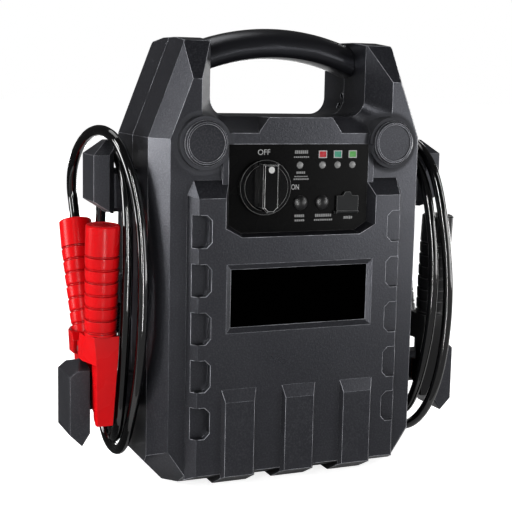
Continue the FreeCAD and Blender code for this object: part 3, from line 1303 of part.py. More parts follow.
def lead(name, points, radius):
    path, radii, length = route_path(points)
    way = path.Edges[0].tangentAt(path.Edges[0].FirstParameter)
    ring = Part.Wire(Part.makeCircle(radius, V(*points[0]), way))
    tube = path.makePipeShell([ring], True, False)
    section = math.pi * radius ** 2
    print(name, "length", round(length, 1), "least radius", round(min(radii), 1),
          "volume share", round(tube.Volume / (section * length), 4))
    print(name, "radii", [round(r) for r in radii])
    return tube, path


def side_lead(name, points, side):
    route = [(side * (BODY_HALF_W + out), y, z) for out, y, z in points]
    tube, path = lead(name, route, LEAD_R)
    print(name, "least gap to itself", round(least_gap(path, LEAD_R, 12 * LEAD_R), 2))
    return tube


def clamp_nodes(name, side):
    """All pieces of one clamp, by node name; the black one sits nearer the wall."""
    pieces = {
        "front_lever": clamp_front_lever(),
        "rear_lever": clamp_rear_lever(),
        "front_grip": grip_sleeve(FRONT_GRIP_TOP, FRONT_GRIP_LOW, FRONT_GRIP_LOW_R),
        "rear_grip": grip_sleeve(REAR_GRIP_TOP, REAR_GRIP_LOW, REAR_GRIP_LOW_R),
        "front_contact": clamp_contact(),
        "rear_contact": mirror_y(clamp_contact()),
        "pin": clamp_pin(),
        "spring": clamp_spring(),
    }
    nodes = {}
    for piece, solid in pieces.items():
        if side > 0:
            solid.translate(V(-BLACK_CLAMP_IN, 0, 0))
        nodes[name + "_clamp_" + piece] = solid if side > 0 else mirror_x(solid)
    return nodes


def all_nodes():
    nodes = {
        "front_housing": front_housing(),
        "rear_housing": rear_housing(),
        "case_screws": case_screws(),
        "tower_screws": tower_screws(),
        "handle_grip": handle_grip(),
        "handle_strap": handle_strap(),
        "corner_cap_right": corner_cap(),
        "corner_cap_left": mirror_x(corner_cap()),
        "label_plate": label_plate(),
        "control_panel": control_panel(),
        "control_board": control_board(),
        "board_screws": board_screws(),
        "tact_switches": tact_switches(),
        "lamp_lenses": lamp_lenses(),
        "level_windows": level_windows(),
        "usb_socket": usb_socket(),
        "socket_cover": socket_cover(),
        "left_button": plate_button(BUTTON_X[0]),
        "right_button": plate_button(BUTTON_X[1]),
        "switch_knob": switch_knob(),
        "knob_pointer": knob_pointer(),
        "switch_shaft": switch_shaft(),
        "switch_body": switch_body(),
        "switch_studs": switch_studs(),
        "battery": battery(),
        "battery_terminals": battery_terminals(),
        "battery_bracket": battery_bracket(),
        "bracket_screws": bracket_screws(),
        "upper_cleat_right": upper_cleat(),
        "upper_cleat_left": mirror_x(upper_cleat()),
        "lower_cleat_right": lower_cleat(),
        "lower_cleat_left": mirror_x(lower_cleat()),
        "lead_hood_right": lead_hood(),
        "lead_hood_left": mirror_x(lead_hood()),
        "red_lead": side_lead("red lead", LEFT_LEAD, -1),
        "black_lead": side_lead("black lead", RIGHT_LEAD, 1),
        "switch_feed": lead("switch feed", SWITCH_FEED, INNER_LEAD_R)[0],
        "red_inner_lead": lead("red inner lead", RED_INNER, INNER_LEAD_R)[0],
        "black_inner_lead": lead("black inner lead", BLACK_INNER, INNER_LEAD_R)[0],
    }
    nodes.update(clamp_nodes("red", -1))
    nodes.update(clamp_nodes("black", 1))
    return nodes


os.makedirs("parts", exist_ok=True)
for node, shape in all_nodes().items():
    solids = shape.Solids
    if not shape.isValid() or not solids:
        print("check", node, "valid", shape.isValid(), "solids", len(solids))
    shape.exportStep("parts/" + node + ".step")
    print(node, len(solids), "volume", round(sum(s.Volume for s in solids)))
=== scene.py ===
import json
import math
import bpy
import bmesh
from mathutils import Matrix, Vector


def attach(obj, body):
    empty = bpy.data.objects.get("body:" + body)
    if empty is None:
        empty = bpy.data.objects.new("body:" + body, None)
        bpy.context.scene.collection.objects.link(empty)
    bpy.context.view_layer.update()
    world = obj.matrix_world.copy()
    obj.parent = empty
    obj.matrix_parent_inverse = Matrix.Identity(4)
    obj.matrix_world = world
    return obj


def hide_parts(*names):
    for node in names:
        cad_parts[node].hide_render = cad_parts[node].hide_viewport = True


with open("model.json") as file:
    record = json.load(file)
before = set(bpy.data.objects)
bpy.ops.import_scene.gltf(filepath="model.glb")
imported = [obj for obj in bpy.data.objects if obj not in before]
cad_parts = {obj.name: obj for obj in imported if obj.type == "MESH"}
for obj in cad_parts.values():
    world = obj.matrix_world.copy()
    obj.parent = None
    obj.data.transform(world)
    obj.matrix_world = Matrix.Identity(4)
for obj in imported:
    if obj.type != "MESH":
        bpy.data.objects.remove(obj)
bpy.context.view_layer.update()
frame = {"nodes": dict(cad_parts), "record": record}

nodes = frame["nodes"]
bodyOf = {n: body for body, names in frame["record"]["behaviour"]["bodies"].items() for n in names}
slotOf = {s["node"]: s["material_slot"] for s in frame["record"]["subparts"]}
mm = 0.001
print("frame loaded,", len(nodes), "parts")

# places that more than one piece needs, in metres
plateFront = -0.065                        # front of the control panel
capSpot = (0.0858, 0.2908)                 # middle of a corner cap, out from the centre and up
clampX = {"red": -0.161, "black": 0.1556}
sides = ((-1, "left"), (1, "right"))


def newObject(name, data):
    made = bpy.data.objects.new(name, data)
    bpy.context.scene.collection.objects.link(made)
    return made


# the camera stands in front and to the left and looks slightly down; angles in degrees
cameraSet = {"place": (-0.4246, -0.9694, 0.3434), "turn": 23.12, "tilt": 8.48, "roll": 1.18,
             "lens": 83.9, "sensor": 36}


def addCamera(values):
    data = bpy.data.cameras.new("photoView")
    data.sensor_width = values["sensor"]
    data.lens = values["lens"]
    camera = newObject("photoView", data)
    a, p, r = (math.radians(values[k]) for k in ("turn", "tilt", "roll"))
    back = Vector((-math.sin(a) * math.cos(p), -math.cos(a) * math.cos(p), math.sin(p)))
    level = Vector((math.cos(a), -math.sin(a), 0))
    rise = back.cross(level)
    right = math.cos(r) * level + math.sin(r) * rise
    up = -math.sin(r) * level + math.cos(r) * rise
    camera.matrix_world = Matrix((right, up, back)).transposed().to_4x4()
    camera.location = values["place"]
    bpy.context.scene.camera = camera


addCamera(cameraSet)

# the two leads, each wound once round its cleats and over the upper one into its clamp.
# Points are the distance out from the side wall, then Y and Z, in millimetres.
leadSet = {
    "wallX": 126.0, "radius": 0.0045,
    "red": (-1, 1.132, (
        (7.5, 34, 118), (7.5, 34, 85), (8.0, 34, 55), (10.5, 23, 36),
        (14.3, 4, 30.5), (17.8, -14, 38), (18.5, -25, 56), (17.0, -32, 98),
        (16.7, -40, 150), (16.0, -42, 205), (14.5, -31, 247), (14.4, -17, 268),
        (14.2, 1, 280), (14.2, 21, 278), (14.5, 36, 262), (15.0, 44, 234),
        (15.2, 47, 190), (15.5, 52, 130), (15.5, 52.5, 82), (15.5, 40, 41),
        (14.5, 22, 22.0), (12.8, -2, 19.3), (11.3, -20, 33.5), (10.0, -31, 56),
        (8.2, -47, 95), (7.0, -53, 142), (6.5, -52, 195), (8.0, -46, 235),
        (13.5, -39, 267), (20.0, -24, 291), (26.0, 0, 299), (32.0, 22, 295),
        (35.8, 42, 281.5), (37.5, 56.5, 263.5), (36.8, 63, 245), (35.0, 61.46, 229.1),
        (35.0, 56.5, 216.0))),
    "black": (1, 1.153, (
        (7.5, 34, 118), (7.5, 34, 86), (7.7, 34, 56), (9.0, 22.5, 37),
        (10.5, 3, 30), (11.0, -17, 35), (11.0, -33, 52), (12.0, -46, 84),
        (14.5, -54, 130), (14.5, -55, 185), (10.6, -49, 234), (9.6, -35.5, 261),
        (10.2, -18, 274), (10.0, 3, 279), (9.0, 22, 272), (8.0, 36, 254),
        (7.7, 44, 226), (7.5, 47, 186), (7.5, 53, 132), (7.5, 54, 86),
        (8.5, 44, 50), (10.5, 25, 26), (12.5, 1, 17), (14.5, -24, 23),
        (17.5, -45, 43), (23.0, -54.5, 71), (27.5, -57, 104), (29.3, -58, 145),
        (26.8, -57, 188), (21.8, -54, 226), (18.5, -47, 255), (15.8, -37, 273),
        (13.5, -20, 286), (13.0, 0, 291), (15.0, 21, 288), (20.0, 40, 277),
        (25.5, 54, 262), (28.8, 62.5, 245), (29.6, 61.46, 229.1), (29.6, 56.5, 216.0))),
}


def windLead(colour, values):
    side, length, points = values[colour]
    data = bpy.data.curves.new(colour + "LeadLine", "CURVE")
    data.dimensions = "3D"
    spline = data.splines.new("NURBS")
    spline.points.add(len(points) - 1)
    for point, (out, y, z) in zip(spline.points, points):
        point.co = (side * (values["wallX"] + out) * mm, y * mm, z * mm, 1)
        point.radius = values["radius"]
    spline.order_u = 3
    spline.use_endpoint_u = True
    spline.resolution_u = 10
    data.bevel_depth = 1.0      # the tube's radius is on the points
    data.bevel_resolution = 6
    data.use_fill_caps = True
    piece = newObject(colour + "LeadWound", data)
    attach(piece, "pack")
    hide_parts(colour + "_lead")
    return piece


leads = {colour: windLead(colour, leadSet) for colour in ("red", "black")}
print("leads wound")


# helpers for the node trees of the finishes and of the grown shapes
def newTree(name, kind, inputs, outputs):
    tree = bpy.data.node_groups.new(name, kind + "NodeTree")
    for label, socketKind, value in inputs:
        socket = tree.interface.new_socket(label, in_out="INPUT", socket_type="NodeSocket" + socketKind)
        if value is not None:
            socket.default_value = value
    for label, socketKind in outputs:
        tree.interface.new_socket(label, in_out="OUTPUT", socket_type="NodeSocket" + socketKind)
    return tree, tree.nodes.new("NodeGroupInput").outputs, tree.nodes.new("NodeGroupOutput").inputs


def add(tree, kind, sockets=(), **settings):
    # plain values are set on the node's sockets, an output of another node is linked to them
    node = tree.nodes.new(kind)
    for key, value in settings.items():
        setattr(node, key, value)
    for key, value in dict(sockets).items():
        if isinstance(value, bpy.types.NodeSocket):
            tree.links.new(value, node.inputs[key])
        else:
            node.inputs[key].default_value = value
    return node


def calc(tree, operation, a, b=0.0):
    return add(tree, "ShaderNodeMath", {0: a, 1: b}, operation=operation).outputs[0]


def plus(tree, a, b):
    return calc(tree, "ADD", a, b)


def minus(tree, a, b):
    return calc(tree, "SUBTRACT", a, b)


def times(tree, a, b):
    return calc(tree, "MULTIPLY", a, b)


def over(tree, a, b):
    return calc(tree, "DIVIDE", a, b)


def vectorCalc(tree, operation, a, b=(0.0, 0.0, 0.0), output="Vector"):
    key = 3 if operation == "SCALE" else 1
    return add(tree, "ShaderNodeVectorMath", {0: a, key: b}, operation=operation).outputs[output]


def remap(tree, value, low, high, toLow=0.0, toHigh=1.0, curve="LINEAR"):
    limits = {"Value": value, "From Min": low, "From Max": high, "To Min": toLow, "To Max": toHigh}
    return add(tree, "ShaderNodeMapRange", limits, interpolation_type=curve).outputs["Result"]


def noise(tree, place, scale, detail, rough=0.5):
    sockets = {"Vector": place, "Scale": scale, "Detail": detail, "Roughness": rough}
    return add(tree, "ShaderNodeTexNoise", sockets).outputs[0]


def objectPlace(tree):
    return add(tree, "ShaderNodeTexCoord").outputs["Object"]


def axesOf(tree, vector):
    return add(tree, "ShaderNodeSeparateXYZ", {0: vector}).outputs


def combine(tree, x=0.0, y=0.0, z=0.0):
    return add(tree, "ShaderNodeCombineXYZ", {"X": x, "Y": y, "Z": z}).outputs[0]


def grow(tree, kind, sockets=(), **settings):
    return add(tree, "GeometryNode" + kind, sockets, **settings).outputs[0]


def buildGrain():
    # spark-eroded mould texture: a fine pebble with a slow drift in gloss
    group, given, out = newTree(
        "mouldGrain", "Shader", [("Scale", "Float", 1500.0), ("Drift", "Float", 18.0)],
        [("Height", "Float"), ("Fine", "Float"), ("Slow", "Float")])
    place = objectPlace(group)
    pebble = add(group, "ShaderNodeTexVoronoi", {"Vector": place, "Scale": given["Scale"]},
                 feature="SMOOTH_F1")
    dust = noise(group, place, given["Scale"], 3.0, 0.6)
    slow = noise(group, place, given["Drift"], 3.0, 0.55)
    group.links.new(plus(group, pebble.outputs["Distance"], dust), out["Height"])
    group.links.new(dust, out["Fine"])
    group.links.new(slow, out["Slow"])
    return group


# limits of the edge masks: how far the softened normal turns, how much an edge stands out, and
# the noise that breaks up the painted edge highlight. Reach is in edge radii
edgeSet = {"samples": 8, "turned": (0.999, 0.984), "reach": 1.5, "stands": (-0.04, 0.06),
           "brokenScale": 90.0, "broken": (0.42, 0.56)}


def buildEdge(values):
    # softened edges, with masks of the edges that stand out and of the creases, broken up a little, and of
    # how open a spot is; the finishes paint highlight and shade with them
    group, given, out = newTree(
        "softEdge", "Shader",
        [("Radius", "Float", 0.001), ("Depth", "Float", 0.008), ("Ragged", "Float", 0.4)],
        [("Normal", "Vector"), ("Edge", "Float"), ("Crease", "Float"), ("Open", "Float")])

    def openness(distance, inside=False):
        node = add(group, "ShaderNodeAmbientOcclusion", {"Distance": distance},
                   samples=values["samples"], inside=inside)
        return node.outputs["AO"]

    bevel = add(group, "ShaderNodeBevel", {"Radius": given["Radius"]}, samples=values["samples"])
    plain = add(group, "ShaderNodeNewGeometry").outputs["Normal"]
    dot = vectorCalc(group, "DOT_PRODUCT", bevel.outputs[0], plain, "Value")
    turned = remap(group, dot, *values["turned"])
    reach = times(group, given["Radius"], values["reach"])
    inside = openness(reach, True)
    outside = openness(reach)
    deep = openness(given["Depth"])
    stands = remap(group, minus(group, outside, inside), *values["stands"])
    fade = remap(group, noise(group, objectPlace(group), values["brokenScale"], 4.0), *values["broken"])
    uneven = minus(group, 1.0, times(group, given["Ragged"], minus(group, 1.0, fade)))
    group.links.new(bevel.outputs[0], out["Normal"])
    group.links.new(times(group, times(group, turned, stands), uneven), out["Edge"])
    group.links.new(times(group, turned, minus(group, 1.0, stands)), out["Crease"])
    group.links.new(deep, out["Open"])
    return group


scuffSet = {"turn": (0.4, 0.9, 0.3), "stretch": (1.0, 14.0, 1.0), "streak": (0.66, 0.74),
            "smearScale": 26.0, "smear": (0.4, 0.75)}


def buildScuff(values):
    # thin rubbed streaks and a few blurred smears, from handling
    group, given, out = newTree(
        "handling", "Shader", [("Scale", "Float", 60.0), ("Amount", "Float", 0.5)],
        [("Streak", "Float"), ("Smear", "Float")])
    place = objectPlace(group)
    turned = add(group, "ShaderNodeMapping", {"Vector": place, "Rotation": values["turn"],
                                              "Scale": values["stretch"]})
    lines = noise(group, turned.outputs[0], given["Scale"], 5.0, 0.7)
    streak = times(group, remap(group, lines, *values["streak"]), given["Amount"])
    smear = remap(group, noise(group, place, values["smearScale"], 2.0), *values["smear"])
    group.links.new(streak, out["Streak"])
    group.links.new(smear, out["Smear"])
    return group


grain, edge, scuff = buildGrain(), buildEdge(edgeSet), buildScuff(scuffSet)


def use(tree, group, **sockets):
    node = tree.nodes.new("ShaderNodeGroup")
    node.node_tree = group
    for key, value in sockets.items():
        node.inputs[key].default_value = value
    return node.outputs


def blendColour(tree, share, a, b):
    node = add(tree, "ShaderNodeMix", data_type="RGBA")
    for socket, value in ((node.inputs[0], share), (node.inputs[6], a), (node.inputs[7], b)):
        if isinstance(value, bpy.types.NodeSocket):
            tree.links.new(value, socket)
        else:
            socket.default_value = value if isinstance(value, float) else (*value, 1.0)
    return node.outputs[2]


def newMaterial(name):
    material = bpy.data.materials.new(name)
    material.use_nodes = True
    return material, material.node_tree, material.node_tree.nodes["Principled BSDF"].inputs


def connect(tree, shader, colour, gloss, bump):
    tree.links.new(colour, shader["Base Color"])
    tree.links.new(gloss, shader["Roughness"])
    tree.links.new(bump.outputs[0], shader["Normal"])


def grey(level):
    return (level, level, level)


# moulded, rubber and painted finishes: colours are linear, lengths in metres.
# These values hold where a finish doesn't say otherwise; an edge radius of 0 leaves edges alone and paints
# no shade or edge highlight. The lighter colour is that of the flecks and of the painted edge highlight
usualFinish = {
    "tint": (1, 1, 1), "fleckAndHighlight": grey(0.3), "specular": 0.5, "fleck": 0.0, "smear": 0.04, "grainScale": 900.0,
    "edgeRadius": 0.0, "openDepth": 0.008, "ragged": 0.5, "edgeHighlight": 0.8, "shade": 0.6, "creaseShade": 0.8,
    "drift": (0.3, 0.7), "flecks": (0.45, 0.72), "closed": (0.42, 0.97),    # limits of the masks
    "tones": (0.88, 1.12, 0.15), "glosses": (1.1, 0.9),    # shares of the base colour and roughness
}
coolTint = (0.88, 0.9, 1.0)
finishes = {
    "housingPlastic": {
        "base": (0.0078, 0.008, 0.0102), "fleckAndHighlight": (0.6, 0.61, 0.66), "rough": 0.3, "specular": 0.52,
        "tint": coolTint, "fleck": 0.03, "edgeHighlight": 0.85, "shade": 0.95, "grainDepth": 0.00006,
        "grainScale": 700.0, "edgeRadius": 0.0005, "openDepth": 0.022,
        "bossShade": {"spot": capSpot, "near": 0.0235, "far": 0.0275, "shade": 0.8, "gloss": 0.3},
        "calm": {"at": (-0.1136, -0.0923), "near": 0.0012, "far": 0.0022, "least": 0.1}},
    "capPlastic": {
        "base": (0.0078, 0.008, 0.0102), "fleckAndHighlight": (0.7, 0.71, 0.76), "rough": 0.32, "specular": 0.36,
        "tint": coolTint, "fleck": 0.035, "edgeHighlight": 0.9, "shade": 0.9, "grainDepth": 0.00006,
        "grainScale": 700.0, "edgeRadius": 0.0004},
    "handlePlastic": {
        "base": (0.005, 0.005, 0.0062), "fleckAndHighlight": (0.05, 0.05, 0.055), "rough": 0.28,
        "tint": coolTint, "fleck": 0.03, "grainDepth": 0.00003, "grainScale": 1100.0},
    "cleatPlastic": {
        "base": (0.018, 0.0184, 0.0215), "fleckAndHighlight": (0.6, 0.6, 0.64), "rough": 0.36, "specular": 0.25,
        "tint": coolTint, "fleck": 0.03, "grainDepth": 0.00005, "grainScale": 800.0,
        "edgeRadius": 0.0005},
    "panelGloss": {
        "base": (0.0022, 0.0022, 0.0023), "fleckAndHighlight": (0.12, 0.12, 0.124), "rough": 0.25,
        "specular": 0.05, "grainDepth": 0.000008, "grainScale": 700.0, "edgeRadius": 0.0004},
    "knobGloss": {
        "base": (0.0018, 0.0018, 0.0021), "fleckAndHighlight": grey(0.8), "rough": 0.18, "specular": 0.14,
        "edgeHighlight": 0.95, "ragged": 0.4, "grainDepth": 0.000004, "grainScale": 700.0,
        "edgeRadius": 0.0005, "highlightFront": {"back": -0.0778, "front": -0.0788, "least": 0.25}},
    "buttonSatin": {"base": (0.005, 0.005, 0.0055), "rough": 0.34, "specular": 0.45,
                    "grainDepth": 0.000004},
    "labelBlack": {"base": grey(0.0002), "fleckAndHighlight": grey(0.01), "rough": 0.5, "specular": 0.0,
                   "grainDepth": 0.000008, "grainScale": 500.0, "edgeRadius": 0.0004},
    "coverRubber": {
        "base": (0.0042, 0.005, 0.0056), "rough": 0.5, "specular": 0.2, "fleck": 0.02,
        "grainDepth": 0.00003, "grainScale": 1500.0, "edgeRadius": 0.0004},
    "redGloss": {
        "base": (0.6, 0.0018, 0.004), "fleckAndHighlight": (0.85, 0.03, 0.035), "rough": 0.26, "specular": 0.14,
        "edgeHighlight": 0.3, "shade": 0.75, "grainDepth": 0.00001, "grainScale": 600.0, "edgeRadius": 0.0005},
    "blackGloss": {
        "base": (0.0045, 0.0045, 0.0052), "fleckAndHighlight": (0.2, 0.2, 0.21), "rough": 0.28, "specular": 0.3,
        "edgeHighlight": 0.5, "grainDepth": 0.00001, "grainScale": 600.0, "edgeRadius": 0.0005},
    "cableJacket": {"base": (0.0012, 0.0012, 0.0014), "rough": 0.07, "specular": 0.8,
                    "grainDepth": 0.000003, "grainScale": 160.0},
    "boardGreen": {"base": (0.01, 0.09, 0.03), "rough": 0.35, "grainDepth": 0.00003},
    "batteryCase": {"base": (0.03, 0.03, 0.034), "fleckAndHighlight": (0.08, 0.08, 0.085), "rough": 0.5,
                    "specular": 0.45, "grainDepth": 0.00006, "edgeRadius": 0.001},
    "switchCase": {"base": (0.05, 0.012, 0.012), "fleckAndHighlight": (0.12, 0.05, 0.05), "rough": 0.45,
                   "grainDepth": 0.00004, "edgeRadius": 0.0006},
    "whiteInlay": {"base": (0.5, 0.5, 0.49), "rough": 0.35, "fleck": 0.3, "grainDepth": 0.000005},
    "printWhite": {"base": grey(0.36), "fleckAndHighlight": grey(0.2), "rough": 0.5, "specular": 0.3,
                   "fleck": 0.4, "grainDepth": 0.000004, "grainScale": 2500.0},
    "printGrey": {"base": grey(0.22), "fleckAndHighlight": grey(0.05), "rough": 0.5, "specular": 0.3,
                  "fleck": 0.5, "grainDepth": 0.000004, "grainScale": 2500.0},
    "lampMilk": {"base": (0.17, 0.17, 0.168), "rough": 0.22, "grainDepth": 0.000005},
}


def mouldedFinish(name):
    values = {**usualFinish, **finishes[name]}
    material, tree, shader = newMaterial(name)
    shader["Specular IOR Level"].default_value = values["specular"]
    shader["Specular Tint"].default_value = (*values["tint"], 1)
    skin = use(tree, grain, Scale=values["grainScale"])
    smear = use(tree, scuff)["Smear"]
    # the two tones drift at random; the darker one is the colour of the painted shade
    deep, pale, dark = (tuple(share * v for v in values["base"]) for share in values["tones"])
    colour = blendColour(tree, remap(tree, skin["Slow"], *values["drift"]), deep, pale)
    fleck = times(tree, remap(tree, skin["Fine"], *values["flecks"]), values["fleck"])
    colour = blendColour(tree, fleck, colour, values["fleckAndHighlight"])
    dull, keen = (share * values["rough"] for share in values["glosses"])
    gloss = remap(tree, skin["Slow"], *values["drift"], dull, keen)
    gloss = plus(tree, gloss, times(tree, smear, values["smear"]))
    bump = add(tree, "ShaderNodeBump", {"Height": skin["Height"], "Distance": values["grainDepth"],
                                        "Strength": 1.0})
    if values["edgeRadius"]:
        rim = use(tree, edge, Radius=values["edgeRadius"], Depth=values["openDepth"],
                  Ragged=values["ragged"])
        # painted shade where a spot is closed in and in the creases
        shade = remap(tree, rim["Open"], *values["closed"], values["shade"], 0.0)
        colour = blendColour(tree, shade, colour, dark)
        colour = blendColour(tree, times(tree, rim["Crease"], values["creaseShade"]), colour, dark)
        # strength of the painted highlight on the edges that stand out
        paintedHighlight = times(tree, rim["Edge"], values["edgeHighlight"])
        if "highlightFront" in values:
            # the painted edge highlight is weaker on edges further back than the front face
            edgeHighlight = values["highlightFront"]
            depth = axesOf(tree, objectPlace(tree))["Y"]
            paintedHighlight = times(tree, paintedHighlight, remap(tree, depth, edgeHighlight["back"], edgeHighlight["front"], edgeHighlight["least"], 1.0))
        if "bossShade" in values:
            # painted shade on the bosses round the caps, which get no painted edge highlight
            ring = values["bossShade"]
            x, z = ring["spot"]
            apart = axesOf(tree, vectorCalc(tree, "ABSOLUTE", objectPlace(tree)))
            spot = combine(tree, apart["X"], 0.0, apart["Z"])
            away = vectorCalc(tree, "DISTANCE", spot, (x, 0.0, z), "Value")
            bossShade = remap(tree, away, ring["near"], ring["far"], 1.0, 0.0, "SMOOTHSTEP")
            paintedHighlight = times(tree, paintedHighlight, minus(tree, 1.0, bossShade))
            colour = blendColour(tree, times(tree, bossShade, ring["shade"]), colour, dark)
            gloss = plus(tree, gloss, times(tree, bossShade, ring["gloss"]))
        if "calm" in values:
            # the painted edge highlight fades out on upright edges on the shaded side
            calm = values["calm"]
            for x in calm["at"]:
                across = axesOf(tree, objectPlace(tree))["X"]
                apart = calc(tree, "ABSOLUTE", minus(tree, across, x))
                share = remap(tree, apart, calm["near"], calm["far"], calm["least"], 1.0)
                paintedHighlight = times(tree, paintedHighlight, share)
        # painted highlight on the edges that stand out, in the lighter colour of the flecks
        colour = blendColour(tree, paintedHighlight, colour, values["fleckAndHighlight"])
        tree.links.new(rim["Normal"], bump.inputs["Normal"])
    connect(tree, shader, colour, gloss, bump)
    return material


metalSet = {
    "zincSteel": {"base": (0.46, 0.46, 0.48), "dull": (0.3, 0.3, 0.31), "rough": 0.32},
    "blackSteel": {"base": (0.05, 0.05, 0.052), "dull": grey(0.02), "rough": 0.35},
    "copperPlate": {"base": (0.78, 0.36, 0.2), "dull": (0.35, 0.15, 0.08), "rough": 0.34},
    "postLead": {"base": (0.32, 0.33, 0.35), "dull": (0.2, 0.2, 0.21), "rough": 0.5},
}
metalLook = {"grainScale": 2200.0, "drift": 140.0, "scuffScale": 240.0, "scuffs": 0.6,
             "tarnish": (0.4, 0.62), "sheen": (0.35, 0.65), "glosses": (0.85, 1.35),
             "streak": 0.15, "grainDepth": 0.00002}


def metalFinish(name):
    values = {**metalLook, **metalSet[name]}
    material, tree, shader = newMaterial(name)
    shader["Metallic"].default_value = 1.0
    skin = use(tree, grain, Scale=values["grainScale"], Drift=values["drift"])
    streak = use(tree, scuff, Scale=values["scuffScale"], Amount=values["scuffs"])["Streak"]
    tarnish = remap(tree, skin["Slow"], *values["tarnish"])
    colour = blendColour(tree, tarnish, values["base"], values["dull"])
    keen, dull = (share * values["rough"] for share in values["glosses"])
    gloss = remap(tree, skin["Slow"], *values["sheen"], keen, dull)
    gloss = plus(tree, gloss, times(tree, streak, values["streak"]))
    bump = add(tree, "ShaderNodeBump", {"Height": skin["Height"], "Distance": values["grainDepth"],
                                        "Strength": 1.0})
    connect(tree, shader, colour, gloss, bump)
    return material


materials = {name: mouldedFinish(name) for name in finishes}
materials.update({name: metalFinish(name) for name in metalSet})

# the three level windows take their colour from where they sit along the panel
levelSet = {"red": (0.36, 0.004, 0.012), "teal": (0.03, 0.22, 0.14), "green": (0.07, 0.27, 0.06),
            "redUntil": 0.028, "tealUntil": 0.042, "specular": 0.1, "cloudScale": 500.0,
            "cloud": (0.3, 0.7), "dust": (0.6, 0.6, 0.6), "dustMost": 0.08, "glosses": (0.25, 0.4)}


def levelFinish(values):
    material, tree, shader = newMaterial("levelColours")
    shader["Specular IOR Level"].default_value = values["specular"]
    place = objectPlace(tree)
    across = axesOf(tree, place)["X"]
    pastRed = calc(tree, "GREATER_THAN", across, values["redUntil"])
    pastTeal = calc(tree, "GREATER_THAN", across, values["tealUntil"])
    colour = blendColour(tree, pastRed, values["red"], values["teal"])
    colour = blendColour(tree, pastTeal, colour, values["green"])
    cloud = noise(tree, place, values["cloudScale"], 2.0)
    dust = remap(tree, cloud, *values["cloud"], 0.0, values["dustMost"])
    colour = blendColour(tree, dust, colour, values["dust"])
    tree.links.new(colour, shader["Base Color"])
    tree.links.new(remap(tree, cloud, *values["cloud"], *values["glosses"]), shader["Roughness"])
    return material


materials["levelColours"] = levelFinish(levelSet)

finishOfSlot = {
    "housing": "housingPlastic", "panel": "panelGloss", "label": "labelBlack", "rubber": "coverRubber",
    "white": "whiteInlay", "lens": "lampMilk", "level": "levelColours", "steel": "zincSteel",
    "copper": "copperPlate", "lead_metal": "postLead", "battery_case": "batteryCase",
    "switch_case": "switchCase", "board": "boardGreen", "red_plastic": "redGloss",
    "black_plastic": "blackGloss", "cable": "cableJacket",
}
finishOfNode = {"handle_grip": "handlePlastic", "switch_knob": "knobGloss",
                "left_button": "buttonSatin", "right_button": "buttonSatin"}


def finishFor(name):
    if "cleat" in name or "hood" in name:
        return materials["cleatPlastic"]
    return materials[finishOfNode.get(name) or finishOfSlot[slotOf[name]]]


for name, node in nodes.items():
    node.data.materials.clear()
    node.data.materials.append(finishFor(name))
for piece in leads.values():
    piece.data.materials.append(materials["cableJacket"])
print("finishes made,", len(materials))

weldWithin = 2e-6      # points closer than this are one point, in metres


def showPiece(name, mesh, body, replaced=(), sharpAngle=35.0):
    mesh.polygons.foreach_set("use_smooth", [True] * len(mesh.polygons))
    mesh.set_sharp_from_angle(angle=math.radians(sharpAngle))
    piece = newObject(name, mesh)
    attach(piece, body)
    if replaced:
        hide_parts(*replaced)
    return piece


def giveMaterial(mesh, material):
    mesh.materials.clear()
    mesh.materials.append(material)


def asMesh(shape, name, material):
    bmesh.ops.remove_doubles(shape, verts=shape.verts, dist=weldWithin)
    bmesh.ops.recalc_face_normals(shape, faces=shape.faces)
    mesh = bpy.data.meshes.new(name)
    shape.to_mesh(mesh)
    shape.free()
    giveMaterial(mesh, material)
    return mesh


# moulded parts with real rounded edges: width of the round in metres, its steps, and the parts
roundedSet = {
    "sharpFrom": 26.0, "shadeFrom": 40.0, "flatWithin": 1.0,
    "rounds": (
        (0.0003, 2, ("left_button", "right_button")),
        (0.0004, 2, ("socket_cover",)),
        (0.0028, 4, ("handle_grip",)),
        (0.0009, 3, ("upper_cleat_left", "upper_cleat_right", "lower_cleat_left", "lower_cleat_right")),
        (0.0007, 2, ("lead_hood_left", "lead_hood_right")),
        (0.001, 3, ("red_clamp_front_lever", "red_clamp_rear_lever",
                    "black_clamp_front_lever", "black_clamp_rear_lever")),
    ),
}


def roundEdges(name, width, steps, values):
    shape = bmesh.new()
    shape.from_mesh(nodes[name].data)
    bmesh.ops.remove_doubles(shape, verts=shape.verts, dist=weldWithin)
    bmesh.ops.dissolve_limit(shape, angle_limit=math.radians(values["flatWithin"]),
                             verts=shape.verts, edges=shape.edges)
    mesh = bpy.data.meshes.new(name + "Round")
    shape.to_mesh(mesh)
    shape.free()
    for extra in ("custom_normal", "sharp_edge", "sharp_face"):
        if extra in mesh.attributes:
            mesh.attributes.remove(mesh.attributes[extra])
    giveMaterial(mesh, finishFor(name))
    piece = showPiece(name + "Round", mesh, bodyOf[name], (name,), values["shadeFrom"])
    bevel = piece.modifiers.new("rounded", "BEVEL")
    bevel.limit_method = "ANGLE"
    bevel.angle_limit = math.radians(values["sharpFrom"])
    bevel.width = width
    bevel.segments = steps


for width, steps, names in roundedSet["rounds"]:
    for name in names:
        roundEdges(name, width, steps, roundedSet)
print("edges rounded")


# shapes grown by Geometry Nodes: each tree takes a material last and ends as real geometry
def newShape(name, inputs):
    return newTree(name, "Geometry", [*inputs, ("Material", "Material", None)], [("Geometry", "Geometry")])


def endShape(tree, given, out, grown):
    real = grow(tree, "RealizeInstances", {"Geometry": grown})
    done = grow(tree, "SetMaterial", {"Geometry": real, "Material": given["Material"]})
    tree.links.new(done, out["Geometry"])
    return tree


